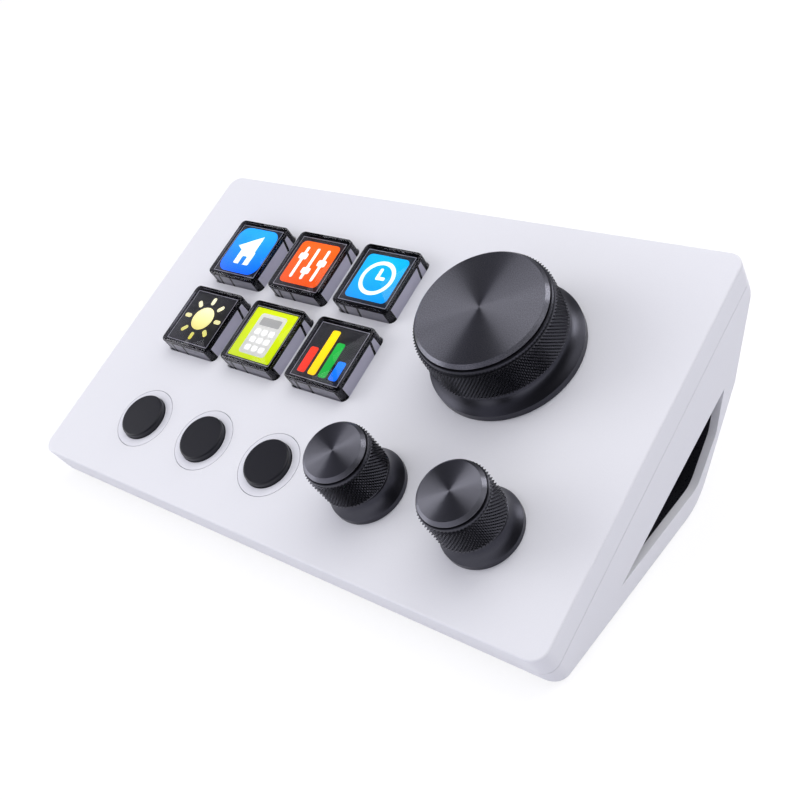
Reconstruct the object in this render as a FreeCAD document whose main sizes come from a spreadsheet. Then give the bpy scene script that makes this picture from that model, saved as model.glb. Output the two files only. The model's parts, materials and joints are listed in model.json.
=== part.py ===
"""Macro keypad with six clear keys, three round buttons, two small knobs and one large dial.

Panel frame, used for every piece: X runs right along the panel, Y runs up its slope, Z stands square
to it, and the origin is the middle of the panel's top face. The finished object stands on its level
underside, so each piece is turned back by the tilt and lifted until the feet touch Z = 0.
Lengths are in millimetres and angles in degrees.
"""

import FreeCAD
import Part
import Sketcher

import math
import os
import re

SIZES = {
    # case outline, measured in the panel frame
    "body_width": 131.0,
    "panel_depth": 80.0,
    "tilt": 22.5,
    "corner_radius": 3.0,
    "panel_round": 0.4,
    "seam_drop": 5.25,
    "front_rim": 3.65,
    "back_rim": 1.2,
    "lower_back_angle": 22.2,
    "break_inset": 14.8,
    "upper_back_angle": 38.7,
    "front_round": 2.5,
    "ridge_round": 11.0,
    "break_round": 1.0,
    # case walls
    "panel_thickness": 1.8,
    "cover_wall": 1.6,
    "cheek_wall": 1.5,
    "front_wall": 1.6,
    "base_wall": 1.8,
    "back_wall": 1.0,
    "lip_height": 1.4,
    "lip_wall": 0.8,
    "lip_gap": 0.15,
    "ledge_height": 1.2,
    "seam_gap": 0.12,
    # hollow through the stand
    "hollow_floor": 3.85,
    "hollow_back": 4.25,
    "hollow_top_gap": 4.85,
    "hollow_top_angle": 3.4,
    "hollow_ridge_shift": 1.5,
    "hollow_knee_round": 4.0,
    "hollow_ridge_round": 6.0,
    "liner_wall": 0.4,
    "liner_gap": 0.05,
    # keys
    "key_space": 4.0,
    "key_row_space": 3.7,
    "key_width": 15.0,
    "key_depth": 15.3,
    "key_corner": 1.2,
    "key_height": 3.4,
    "key_bevel": 0.25,
    "key_gap": 0.2,
    "key_travel": 1.5,
    "key_window": 0.6,
    "key_wall": 0.9,
    "key_film_thickness": 0.2,
    "film_gap": 0.1,
    "key_floor_drop": 2.9,
    "cup_wall": 0.35,
    "key_flange_side": 0.6,
    "key_flange_thickness": 0.8,
    "flange_gap": 0.1,
    "key_stem_radius": 2.0,
    "key_stem_length": 1.3,
    "frame_wall": 1.4,
    "frame_depth": 3.0,
    "frame_gap": 0.2,
    # board and the domes on it
    "board_thickness": 1.6,
    "board_edge_gap": 0.8,
    "board_gap": 0.3,
    "mat_thickness": 0.5,
    "dome_radius": 3.2,
    "dome_top_radius": 2.2,
    "press_gap": 0.1,
    "chip_side": 9.0,
    "chip_height": 1.2,
    # round buttons
    "button_space": 5.2,
    "ring_radius": 6.9,
    "ring_gap": 0.12,
    "ring_flange_side": 1.0,
    "ring_flange_thickness": 0.8,
    "button_radius": 5.1,
    "button_gap": 0.15,
    "button_height": 1.25,
    "button_round": 0.4,
    "button_travel": 0.5,
    "button_flange_side": 1.1,
    "button_flange_thickness": 0.8,
    "switch_side": 6.0,
    "plunger_radius": 1.75,
    "plunger_height": 0.6,
    # encoders
    "encoder_side": 12.0,
    "encoder_height": 6.0,
    "encoder_floor": 0.4,
    "bushing_wall": 0.45,
    "bushing_height": 3.3,
    "shaft_radius": 3.0,
    "shaft_gap": 0.05,
    "shaft_flat": 1.5,
    "shaft_foot_gap": 0.7,
    "rotor_wall": 1.45,
    "rotor_height": 1.4,
    "rotor_gap": 0.1,
    "rotor_depth": 1.6,
    "knob_travel": 0.5,
    "washer_side": 1.1,
    "washer_thickness": 0.4,
    "nut_wall": 1.2,
    "nut_gap": 0.22,
    "nut_height": 1.8,
    "bushing_gap": 0.05,
    # small knobs
    "knob_foot_rim": 1.2,
    "knob_flare": 1.43,
    "knob_grip_side": 0.35,
    "knob_disc_rim": 0.55,
    # large dial
    "dial_foot_rim": 1.5,
    "dial_flare": 2.22,
    "dial_grip_side": 0.5,
    "dial_disc_rim": 0.7,
    "dial_neck_radius": 12.9,
    # shared knob heights above the panel
    "foot_floor": 0.8,
    "neck_height": 4.5,
    "neck_wall": 0.5,
    "grip_gap": 0.3,
    "grip_height": 7.9,
    "grip_edge": 0.15,
    "grip_wall": 1.6,
    "grip_skirt": 1.2,
    "hub_wall": 1.6,
    "disc_rise": 0.8,
    "disc_seat": 1.0,
    "disc_chamfer": 0.6,
    "disc_gap": 0.03,
    "shaft_top_gap": 1.0,
    # case screws and feet
    "screw_side_inset": 6.0,
    "screw_end_inset": 10.0,
    "boss_wall": 0.55,
    "screw_radius": 1.0,
    "screw_gap": 0.05,
    "screw_head_radius": 1.9,
    "screw_head_height": 1.2,
    "screw_head_gap": 0.3,
    "screw_seat": 1.2,
    "screw_tip_drop": 3.2,
    "foot_end_inset": 13.5,
    "foot_width": 6.0,
    "foot_thickness": 1.2,
    "foot_recess": 0.5,
    "foot_side_gap": 0.1,
    "front_foot_inset": 8.5,
    "rear_foot_inset": 8.6,
    # USB-C socket
    "usb_width": 8.94,
    "usb_height": 3.2,
    "usb_length": 7.4,
    "usb_wall": 0.35,
    "usb_corner": 1.2,
    "usb_tongue_width": 6.7,
    "usb_tongue_height": 0.7,
    "usb_tongue_length": 5.4,
    "usb_slot_gap": 0.3,
    # cuts run past what they cut by this much
    "overrun": 1.0,
}

# centres of the controls, as shares of the panel's width and depth
PLACE_SHARES = {
    "keys": (-0.1718, 0.1106),
    "buttons": (-0.1794, -0.3163),
    "dial": (0.2401, 0.1313),
    "left_knob": (0.1504, -0.2881),
    "right_knob": (0.3427, -0.2881),
    "controller_chip": (-0.15, 0.1),
}

# concave flare of a knob's foot: share of its height, share of the way in to the neck
FLARE_SHARES = [(0.0, 0.0), (0.1, 0.08), (0.3, 0.38), (0.6, 0.74), (1.0, 1.0)]

# numbers closer than this count as the same
TOUCH = 1e-4

doc = FreeCAD.newDocument("Keypad")
sheet = doc.addObject("Spreadsheet::Sheet", "Sizes")
for row, (alias, size) in enumerate(SIZES.items(), start=1):
    sheet.set(f"A{row}", alias)
    sheet.set(f"B{row}", str(size))
    sheet.setAlias(f"B{row}", alias)
doc.recompute()

pieces = {}


# Sizes and expressions

def name_cell(word):
    name = word.group()
    return f"Sizes.{name}" if name in SIZES else name


def bound(text):
    """An expression in which every size's name points at its cell."""
    return re.sub(r"[a-z]\w*", name_cell, text)


def value(text):
    """The number that an expression has with the sizes as they are."""
    return float(sheet.evalExpression(bound(text)))


def bind(thing, prop, text):
    """Set a property of an object from an expression of the named sizes."""
    thing.setExpression(prop, bound(text))


# Levels and radii that many pieces share, as expressions
HALF_WIDTH = "body_width / 2"
HALF_DEPTH = "panel_depth / 2"
SLOPE = "tan(tilt * 1 deg)"
LOW_SLOPE = "tan(lower_back_angle * 1 deg)"
HIGH_SLOPE = "tan(upper_back_angle * 1 deg)"
FRONT_DROP = "(seam_drop + front_rim)"
BACK_DROP = "(seam_drop + back_rim)"
BREAK_BACK = f"({HALF_DEPTH} - break_inset)"
BREAK_DROP = f"({BACK_DROP} + break_inset * {HIGH_SLOPE})"
RISE_TO_BREAK = f"({FRONT_DROP} + {HALF_DEPTH} * {SLOPE} - {BREAK_DROP} - {BREAK_BACK} * {LOW_SLOPE})"
RIDGE_BACK = f"(-{RISE_TO_BREAK} / ({SLOPE} + {LOW_SLOPE}))"
RIDGE_DROP = f"({FRONT_DROP} + ({HALF_DEPTH} + {RIDGE_BACK}) * {SLOPE})"
BOARD_TOP = "(panel_thickness + encoder_height)"
BOARD_BOTTOM = f"({BOARD_TOP} + board_thickness)"
SCREW_SEAT = f"({BOARD_BOTTOM} + screw_seat)"
BOSS_RADIUS = "(screw_head_radius + screw_head_gap + boss_wall)"
KEY_PITCH = "(key_width + key_space)"
KEY_ROW_PITCH = "(key_depth + key_row_space)"
KEY_FLANGE_DROP = "(panel_thickness + flange_gap)"
KEY_WELL = "(key_flange_side + frame_gap)"
FILM_LEVEL = "(key_height - key_window - key_film_thickness)"
STEM_DROP = f"({KEY_FLANGE_DROP} + key_flange_thickness + key_stem_length)"
BUTTON_PITCH = "(2 * ring_radius + button_space)"
BUTTON_FLANGE_DROP = "(panel_thickness + ring_flange_thickness + flange_gap)"
USB_MOUTH = f"({HALF_DEPTH} - ({BOARD_BOTTOM} + usb_height - {BACK_DROP}) / {HIGH_SLOPE})"
USB_START = f"({USB_MOUTH} - usb_length)"
SHAFT_BORE = "(shaft_radius + shaft_gap)"
BUSHING_RADIUS = f"({SHAFT_BORE} + bushing_wall)"
BUSHING_HOLE = f"({BUSHING_RADIUS} + bushing_gap)"
NUT_CORNER = f"(2 * ({BUSHING_RADIUS} + nut_wall) / sqrt(3))"
GRIP_BOTTOM = "(neck_height + knob_travel + grip_gap)"
GRIP_TOP = f"({GRIP_BOTTOM} + grip_height)"
DISC_TOP = f"({GRIP_TOP} + disc_rise)"
DISC_SEAT = f"({DISC_TOP} - disc_chamfer - disc_seat)"
SHAFT_TOP = f"({DISC_SEAT} - shaft_top_gap)"
NECK_RADIUS = {"knob": f"({NUT_CORNER} + nut_gap + neck_wall)", "dial": "dial_neck_radius"}


def place(name):
    """X and Y of a control on the panel, as expressions."""
    across_share, along_share = PLACE_SHARES[name]
    return f"({across_share} * body_width)", f"({along_share} * panel_depth)"


# Sketches and features

START, END, CENTRE = range(1, 4)


def origin_plane(body, role):
    """One of a body's own origin planes, such as XY_Plane."""
    return next(item for item in body.Origin.OriginFeatures if item.Role == role)


def new_body(name):
    return doc.addObject("PartDesign::Body", name + "_body")


def new_sketch(body, name, role="XY_Plane", offset="0"):
    """A sketch on an origin plane, moved along the plane's normal by an expression."""
    sketch = body.newObject("Sketcher::SketchObject", f"{body.Name}_{name}")
    sketch.AttachmentSupport = (origin_plane(body, role), [""])
    sketch.MapMode = "FlatFace"
    if offset != "0":
        bind(sketch, "AttachmentOffset.Base.z", offset)
    return sketch


def fix_point(sketch, geometry, corner, x, y):
    """Hold one end of a sketch line at a place given by two expressions."""
    for kind, axis, text in (("DistanceX", -2, x), ("DistanceY", -1, y)):
        if text == "0":
            sketch.addConstraint(Sketcher.Constraint("PointOnObject", geometry, corner, axis))
        else:
            number = sketch.addConstraint(Sketcher.Constraint(kind, -1, 1, geometry, corner, value(text)))
            bind(sketch, f"Constraints[{number}]", text)


def add_outline(sketch, points):
    """A closed outline of straight lines through points given as pairs of expressions."""
    first = sketch.GeometryCount
    places = [FreeCAD.Vector(value(x), value(y), 0) for x, y in points]
    for place, following in zip(places, places[1:] + places[:1]):
        sketch.addGeometry(Part.LineSegment(place, following), False)
    for number, (x, y) in enumerate(points):
        before = first + (number - 1) % len(points)
        sketch.addConstraint(Sketcher.Constraint("Coincident", before, END, first + number, START))
        fix_point(sketch, first + number, START, x, y)
    return sketch


def add_circle(sketch, x, y, radius):
    number = sketch.GeometryCount
    centre = FreeCAD.Vector(value(x), value(y), 0)
    sketch.addGeometry(Part.Circle(centre, FreeCAD.Vector(0, 0, 1), value(radius)), False)
    fix_point(sketch, number, CENTRE, x, y)
    size = sketch.addConstraint(Sketcher.Constraint("Radius", number, value(radius)))
    bind(sketch, f"Constraints[{size}]", radius)
    return sketch


def rectangle(width, depth, x="0", y="0"):
    """Corners of a rectangle about a centre, as expressions."""
    sides = [(-1, -1), (1, -1), (1, 1), (-1, 1)]
    return [(f"{x} + {side} * ({width}) / 2", f"{y} + {end} * ({depth}) / 2") for side, end in sides]


def pad(body, sketch, length, downward=False, symmetric=False):
    feature = body.newObject("PartDesign::Pad", sketch.Name + "_pad")
    feature.Profile = sketch
    bind(feature, "Length", length)
    feature.Reversed = downward
    if symmetric:
        feature.SideType = "Symmetric"
    doc.recompute()
    return feature


def pocket(body, sketch, length, upward=False, symmetric=False):
    """Cut along a sketch's normal, downward unless told otherwise, and check that it cut."""
    before = body.Tip.Shape.Volume
    feature = body.newObject("PartDesign::Pocket", sketch.Name + "_pocket")
    feature.Profile = sketch
    bind(feature, "Length", length)
    feature.Reversed = upward
    if symmetric:
        feature.SideType = "Symmetric"
    doc.recompute()
    if feature.Shape.Volume >= before:
        raise RuntimeError(f"{feature.Name} cut nothing")
    return feature


def revolve(body, sketch):
    feature = body.newObject("PartDesign::Revolution", sketch.Name + "_revolution")
    feature.Profile = sketch
    feature.ReferenceAxis = (sketch, ["V_Axis"])
    feature.Angle = 360
    doc.recompute()
    return feature


def turned(name, outline):
    """A closed half outline, given by radius and height, turned round its axis."""
    body = new_body(name)
    revolve(body, add_outline(new_sketch(body, "half", "XZ_Plane"), outline))
    return body


def round_edges(body, name, radius, chosen):
    """Round the edges of a body's last feature that a test picks."""
    base = body.Tip
    names = [f"Edge{number}" for number, edge in enumerate(base.Shape.Edges, start=1) if chosen(edge)]
    if not names:
        raise RuntimeError(f"{name}: no edge to round on {body.Name}")
    feature = body.newObject("PartDesign::Fillet", f"{body.Name}_{name}")
    feature.Base = (base, names)
    bind(feature, "Radius", radius)
    doc.recompute()
    return feature


def bevel_edges(body, name, size, chosen):
    """Bevel the edges of a body's last feature that a test picks."""
    base = body.Tip
    names = [f"Edge{number}" for number, edge in enumerate(base.Shape.Edges, start=1) if chosen(edge)]
    feature = body.newObject("PartDesign::Chamfer", f"{body.Name}_{name}")
    feature.Base = (base, names)
    bind(feature, "Size", size)
    doc.recompute()
    return feature


def runs_along(edge, axis):
    """True where an edge is straight and runs along X, Y or Z."""
    if edge.Curve.TypeId != "Part::GeomLine":
        return False
    direction = edge.Curve.Direction
    return abs(abs((direction.x, direction.y, direction.z)["XYZ".index(axis)]) - 1) < TOUCH


def near(number, text):
    """True where a number is what an expression gives."""
    return abs(number - value(text)) < TOUCH


# Part primitives and booleans

def at(thing, x="0", y="0", z="0"):
    """Place a primitive in its piece by three expressions."""
    for axis, text in (("x", x), ("y", y), ("z", z)):
        if text != "0":
            bind(thing, f"Placement.Base.{axis}", text)
    return thing


def box(name, width, depth, height, x="0", y="0", z="0"):
    """A box centred on X and Y whose lowest face is at z."""
    thing = doc.addObject("Part::Box", name)
    for prop, text in (("Length", width), ("Width", depth), ("Height", height)):
        bind(thing, prop, text)
    return at(thing, f"{x} - ({width}) / 2", f"{y} - ({depth}) / 2", z)


def cylinder(name, radius, height, x="0", y="0", z="0"):
    thing = doc.addObject("Part::Cylinder", name)
    bind(thing, "Radius", radius)
    bind(thing, "Height", height)
    return at(thing, x, y, z)


def join(name, parts):
    thing = doc.addObject("Part::MultiFuse", name)
    thing.Shapes = parts
    return thing


def cut(name, base, tool):
    thing = doc.addObject("Part::Cut", name)
    thing.Base = base
    thing.Tool = tool
    return thing


def common(name, first, second):
    thing = doc.addObject("Part::Common", name)
    thing.Base = first
    thing.Tool = second
    return thing


def group(name, parts):
    """Separate solids that share one node."""
    thing = doc.addObject("Part::Compound", name)
    thing.Links = parts
    return thing


# Placing pieces on the finished object

def stand():
    """The panel frame's placement on the finished object, with the feet at Z = 0."""
    tilt = math.radians(value("tilt"))
    rise = value("foot_thickness - foot_recess")
    underside = -value(HALF_DEPTH) * math.sin(tilt) - value(FRONT_DROP) * math.cos(tilt)
    front_centre = (-value(HALF_DEPTH) + value("panel_round"), -value("panel_round"))
    front = front_centre[0] * math.cos(tilt) - front_centre[1] * math.sin(tilt) - value("panel_round")
    bend = math.radians(90 - value("upper_back_angle"))
    inset = value("break_round") * math.tan(bend / 2)
    back_centre = (value(HALF_DEPTH) - value("break_round"), -value(BACK_DROP) + inset)
    back = back_centre[0] * math.cos(tilt) - back_centre[1] * math.sin(tilt) + value("break_round")
    rotation = FreeCAD.Rotation(FreeCAD.Vector(1, 0, 0), value("tilt"))
    return FreeCAD.Placement(FreeCAD.Vector(0, -(front + back) / 2, rise - underside), rotation)


STAND = stand()


def finish(thing, label, x="0", y="0", z="0", turn=0):
    """Name a finished piece and put its local origin at a place in the panel frame."""
    thing.Label = label
    local = FreeCAD.Placement(
        FreeCAD.Vector(value(x), value(y), value(z)), FreeCAD.Rotation(FreeCAD.Vector(1, 0, 0), turn)
    )
    thing.Placement = STAND.multiply(local)
    pieces[label] = thing
    return thing


# Case

def inset_corner(x, y, angle_before, angle_after, wall_before, wall_after):
    """A corner of the side outline moved inward from both of its edges, as two expressions.

    The outline runs from front to back along the underside, and each angle is that of an edge.
    """
    turn = f"cos(({angle_after} - {angle_before}) * 1 deg)"
    before = f"{angle_before} * 1 deg"
    after = f"{angle_after} * 1 deg"
    share_before = f"(({wall_before}) - {turn} * ({wall_after})) / (1 - {turn} ^ 2)"
    share_after = f"(({wall_after}) - {turn} * ({wall_before})) / (1 - {turn} ^ 2)"
    moved_x = f"{x} - {share_before} * sin({before}) - {share_after} * sin({after})"
    moved_y = f"{y} + {share_before} * cos({before}) + {share_after} * cos({after})"
    return moved_x, moved_y


def side_corners(front, base, lower_back, upper_back, rear):
    """The four lower corners of the case's side outline, inset by one wall for each face."""
    low, high = "lower_back_angle", "upper_back_angle"
    return [
        inset_corner(f"-({HALF_DEPTH})", f"-{FRONT_DROP}", "(-90)", "(-tilt)", front, base),
        inset_corner(RIDGE_BACK, f"-{RIDGE_DROP}", "(-tilt)", low, base, lower_back),
        inset_corner(BREAK_BACK, f"-{BREAK_DROP}", low, high, lower_back, upper_back),
        inset_corner(HALF_DEPTH, f"-{BACK_DROP}", high, "90", upper_back, rear),
    ]


def lies_at(edge, corner):
    """True where an edge runs along X through a corner of the side outline."""
    middle = edge.CenterOfMass
    return runs_along(edge, "X") and near(middle.y, corner[0]) and near(middle.z, corner[1])


def run_along_x(name, corners, width, rounded):
    """A side outline run from side to side, with some of its long edges rounded."""
    body = new_body(name)
    pad(body, add_outline(new_sketch(body, "side", "YZ_Plane"), corners), width, symmetric=True)
    for number, radius in rounded.items():
        round_edges(body, f"long_edge_{number}", radius, lambda edge: lies_at(edge, corners[number]))
    return body


def stand_block(name, top, walls, width, rounded, corner):
    """The stand's outline run from side to side, kept within a plan with rounded corners."""
    front = f"-({HALF_DEPTH} - {walls[0]})"
    rear = f"{HALF_DEPTH} - {walls[4]}"
    side = run_along_x(f"{name}_side", side_corners(*walls) + [(rear, top), (front, top)], width, rounded)
    plan = new_body(f"{name}_plan")
    outline = rectangle(width, f"panel_depth - 2 * {walls[0]}")
    pad(plan, add_outline(new_sketch(plan, "outline", offset=f"-{RIDGE_DROP}"), outline), RIDGE_DROP)
    round_edges(plan, "upright", corner, lambda edge: runs_along(edge, "Z"))
    return common(name, side, plan)


FRONT, RIDGE, KNEE, BACK = range(4)
HOLLOW_ROUNDS = {RIDGE: "hollow_ridge_round", KNEE: "hollow_knee_round"}


def hollow_corners():
    """The hollow's side outline: front tip, ridge, knee and back tip, as expressions."""
    lean = "tan(hollow_top_angle * 1 deg)"
    top = f"({BOARD_BOTTOM} + hollow_top_gap)"
    floor = f"(hollow_floor / cos(tilt * 1 deg) - {FRONT_DROP} - {HALF_DEPTH} * {SLOPE})"
    rise = f"(hollow_back / cos(upper_back_angle * 1 deg) - {BREAK_DROP} - {BREAK_BACK} * {HIGH_SLOPE})"
    tip = f"(({top} + {floor}) / ({SLOPE} - {lean}))"
    back_tip = f"(-({top} + {rise}) / ({HIGH_SLOPE} + {lean}))"
    ridge = f"({RIDGE_BACK} + hollow_ridge_shift)"
    low, high = "lower_back_angle", "upper_back_angle"
    wall = "(back_wall + liner_wall + liner_gap)"
    return [
        (tip, f"-{top} - {tip} * {lean}"),
        (ridge, f"{floor} - {ridge} * {SLOPE}"),
        inset_corner(BREAK_BACK, f"-{BREAK_DROP}", low, high, wall, "hollow_back"),
        (back_tip, f"-{top} - {back_tip} * {lean}"),
    ]


def outward_corners(corners, wall):
    """Corners of a closed outline, given anticlockwise, moved outward by a wall, as expressions."""
    moved = []
    count = len(corners)
    for number, (x, y) in enumerate(corners):
        before = corners[number - 1]
        after = corners[(number + 1) % count]
        arrive = f"atan2({y} - ({before[1]}); {x} - ({before[0]}))"
        leave = f"atan2({after[1]} - ({y}); {after[0]} - ({x}))"
        push = f"{wall} / (1 + cos({leave} - {arrive}))"
        moved.append((
            f"{x} + {push} * (sin({arrive}) + sin({leave}))",
            f"{y} - {push} * (cos({arrive}) + cos({leave}))",
        ))
    return moved


def screw_places():
    x = f"({HALF_WIDTH} - screw_side_inset)"
    y = f"({HALF_DEPTH} - screw_end_inset)"
    return [(f"{side} * {x}", f"{end} * {y}") for side in (-1, 1) for end in (-1, 1)]


def key_places():
    """Centres of the six keys, from the back left one along each row."""
    x, y = place("keys")
    return [
        (f"({x} + {column} * {KEY_PITCH})", f"({y} + {row} * {KEY_ROW_PITCH} / 2)")
        for row in (1, -1)
        for column in (-1, 0, 1)
    ]


def button_places():
    x, y = place("buttons")
    return [(f"({x} + {column} * {BUTTON_PITCH})", y) for column in (-1, 0, 1)]


KNOBS = ("dial", "left_knob", "right_knob")


def make_top_cover():
    """Upper half of the case: the panel, its short skirt and the four screw bosses."""
    body = new_body("top_cover")
    panel = add_outline(new_sketch(body, "panel"), rectangle("body_width", "panel_depth"))
    pad(body, panel, "seam_drop", downward=True)
    round_edges(body, "upright", "corner_radius", lambda edge: runs_along(edge, "Z"))
    round_edges(body, "rim", "panel_round", lambda edge: abs(edge.BoundBox.ZMin) < TOUCH)
    inside = rectangle("body_width - 2 * cover_wall", "panel_depth - 2 * cover_wall")
    pocket(body, add_outline(new_sketch(body, "inside", offset="-panel_thickness"), inside), "seam_drop")
    openings = new_sketch(body, "openings")
    for x, y in key_places():
        add_outline(openings, rectangle("key_width + 2 * key_gap", "key_depth + 2 * key_gap", x, y))
    pocket(body, openings, "panel_thickness")
    round_edges(
        body,
        "opening_corners",
        "key_corner + key_gap",
        lambda edge: runs_along(edge, "Z") and near(edge.Length, "panel_thickness"),
    )
    holes = new_sketch(body, "holes")
    for x, y in button_places():
        add_circle(holes, x, y, "ring_radius + ring_gap")
    for name in KNOBS:
        add_circle(holes, *place(name), BUSHING_HOLE)
    pocket(body, holes, "panel_thickness")
    bosses = new_sketch(body, "bosses", offset="-panel_thickness")
    for x, y in screw_places():
        add_circle(bosses, x, y, BOSS_RADIUS)
    pad(body, bosses, f"{BOARD_TOP} - panel_thickness", downward=True)
    pilots = new_sketch(body, "pilots", offset=f"-{BOARD_TOP}")
    for x, y in screw_places():
        add_circle(pilots, x, y, "screw_radius + screw_gap")
    pocket(body, pilots, f"{BOARD_TOP} - screw_tip_drop + press_gap", upward=True)
    finish(body, "top_cover")


def make_lower_shell():
    """Lower half of the case, with the stand, its hollow, the bosses and the seats of the feet."""
    outer = stand_block(
        "shell_outer",
        "-(seam_drop + seam_gap)",
        ("0 * front_wall", "0 * base_wall", "0 * back_wall", "0 * back_wall", "0 * back_wall"),
        "body_width",
        {FRONT: "front_round", RIDGE: "ridge_round", KNEE: "break_round", BACK: "break_round"},
        "corner_radius",
    )
    cavity = stand_block(
        "shell_cavity",
        "overrun - seam_drop",
        ("front_wall", "base_wall", "back_wall", "back_wall", "front_wall"),
        "body_width - 2 * cheek_wall",
        {RIDGE: "ridge_round - base_wall"},
        "corner_radius - cheek_wall",
    )
    shell = cut("shell_walls", outer, cavity)
    posts = []
    for number, (x, y) in enumerate(screw_places()):
        height = f"{RIDGE_DROP} - {BOARD_BOTTOM}"
        posts.append(cylinder(f"shell_post_{number}", BOSS_RADIUS, height, x, y, f"-{RIDGE_DROP}"))
    posts = common("shell_posts", outer, join("shell_post_set", posts))
    lip = make_lip(outer)
    drills = []
    low = f"-{RIDGE_DROP}"
    for number, (x, y) in enumerate(screw_places()):
        hole = "screw_radius + screw_gap"
        drills.append(cylinder(f"shell_drill_{number}", hole, RIDGE_DROP, x, y, low))
        recess = "screw_head_radius + screw_head_gap"
        height = f"{RIDGE_DROP} - {SCREW_SEAT}"
        drills.append(cylinder(f"shell_recess_{number}", recess, height, x, y, low))
    for label in ("front", "rear"):
        drills.append(foot_block(f"{label}_foot_seat", label, "foot_side_gap", "overrun"))
    width = "body_width + 2 * overrun"
    drills.append(run_along_x("hollow", hollow_corners(), width, HOLLOW_ROUNDS))
    length = f"{HALF_DEPTH} + overrun - {USB_START}"
    drills.append(usb_block("usb_slot", "usb_slot_gap", length, USB_START))
    solid = join("shell_solid", [shell, posts, lip])
    finish(cut("lower_shell", solid, join("shell_cuts", drills)), "lower_shell")


def make_lip(outer):
    """Ridge that stands up inside the cover's skirt, on a ledge joined to the shell's walls."""
    width = "body_width - 2 * (cover_wall + lip_gap)"
    depth = "panel_depth - 2 * (cover_wall + lip_gap)"
    rise = "(lip_height + ledge_height)"
    level = "-(seam_drop + ledge_height)"
    upper = box("lip_outer", width, depth, rise, z=level)
    ledge = box("lip_ledge", "body_width", "panel_depth", "ledge_height", z=level)
    inner = box(
        "lip_inner",
        f"{width} - 2 * lip_wall",
        f"{depth} - 2 * lip_wall",
        f"{rise} + 2 * overrun",
        z=f"{level} - overrun",
    )
    return cut("lip", join("lip_solid", [upper, common("lip_foot", outer, ledge)]), inner)


def foot_block(name, label, gap, below):
    """A strip sunk into the level underside by the feet's recess, and standing below it."""
    middles = {
        "front": f"(front_foot_inset - {HALF_DEPTH})",
        "rear": f"({RIDGE_BACK} - rear_foot_inset)",
    }
    middle = middles[label]
    half = f"(foot_width / 2 + {gap})"
    drop = f"({FRONT_DROP} + ({HALF_DEPTH} + {middle}) * {SLOPE})"
    outline = []
    for side, rise in ((-1, f"-({below})"), (1, f"-({below})"), (1, "foot_recess"), (-1, "foot_recess")):
        across = f"{side} * {half}"
        outline.append((
            f"{middle} + {across} * cos(tilt * 1 deg) + ({rise}) * sin(tilt * 1 deg)",
            f"-{drop} - {across} * sin(tilt * 1 deg) + ({rise}) * cos(tilt * 1 deg)",
        ))
    return run_along_x(name, outline, f"body_width - 2 * (foot_end_inset - {gap})", {})


def make_feet():
    """Two rubber strips let into the underside, one near the front and one near the ridge."""
    for label in ("front", "rear"):
        name = f"{label}_foot_strip"
        strip = foot_block(name, label, "0 * foot_side_gap", "foot_thickness - foot_recess")
        finish(strip, name)


def make_liner():
    """Black lining of the hollow, a thin tube between the two cheeks."""
    corners = outward_corners(hollow_corners(), "liner_wall")
    rounded = {number: f"{radius} + liner_wall" for number, radius in HOLLOW_ROUNDS.items()}
    tube = run_along_x("liner_outer", corners, "body_width - 2 * (cheek_wall + liner_gap)", rounded)
    hollow = run_along_x("liner_hollow", hollow_corners(), "body_width", HOLLOW_ROUNDS)
    finish(cut("hollow_liner", tube, hollow), "hollow_liner")


# Board and what it carries

def make_board():
    """Main board, clamped between the bosses of the case halves and kept clear of the sloping walls."""
    half = f"({HALF_WIDTH} - cheek_wall - board_edge_gap)"
    level = f"({BOARD_BOTTOM} + board_gap)"
    slant = f"({level} + base_wall / cos(tilt * 1 deg) - {FRONT_DROP}) / {SLOPE}"
    front = f"(max({slant}; front_wall + board_edge_gap) - {HALF_DEPTH})"
    slant = f"({level} + back_wall / cos(upper_back_angle * 1 deg) - {BACK_DROP}) / {HIGH_SLOPE}"
    rear = f"({HALF_DEPTH} - max({slant}; front_wall + board_edge_gap))"
    body = new_body("main_board")
    outline = [(f"-{half}", front), (half, front), (half, rear), (f"-{half}", rear)]
    pad(body, add_outline(new_sketch(body, "plate"), outline), "board_thickness")
    round_edges(body, "upright", "corner_radius", lambda edge: runs_along(edge, "Z"))
    holes = new_sketch(body, "holes", offset="board_thickness")
    for x, y in screw_places():
        add_circle(holes, x, y, "screw_radius + screw_gap")
    pocket(body, holes, "board_thickness")
    finish(body, "main_board", z=f"-{BOARD_BOTTOM}")


def make_chip():
    chip = box("chip_block", "chip_side", "chip_side", "chip_height")
    level = f"-({BOARD_BOTTOM} + chip_height)"
    finish(group("controller_chip", [chip]), "controller_chip", *place("controller_chip"), level)


def usb_block(name, grow, length, start):
    """A round-cornered block with the socket's outline, running back from a start."""
    body = new_body(name)
    middle = f"-({BOARD_BOTTOM} + usb_height / 2)"
    outline = rectangle(f"usb_width + 2 * {grow}", f"usb_height + 2 * {grow}", "0", middle)
    sketch = add_outline(new_sketch(body, "mouth", "XZ_Plane", f"-({start})"), outline)
    pad(body, sketch, length, downward=True)
    round_edges(body, "long", f"usb_corner + {grow}", lambda edge: runs_along(edge, "Y"))
    return body


def make_usb_socket():
    """Steel shell of the USB-C socket with its tongue, under the board's rear edge."""
    shell = usb_block("usb_shell", "0 * usb_wall", "usb_length", USB_START)
    inside = usb_block("usb_inside", "-usb_wall", "usb_length + overrun", f"{USB_START} + usb_wall")
    tongue = box(
        "usb_tongue",
        "usb_tongue_width",
        "usb_tongue_length",
        "usb_tongue_height",
        y=f"{USB_START} + usb_wall + usb_tongue_length / 2",
        z=f"-({BOARD_BOTTOM} + usb_height / 2 + usb_tongue_height / 2)",
    )
    finish(join("usb_socket", [cut("usb_tube", shell, inside), tongue]), "usb_socket")


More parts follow.
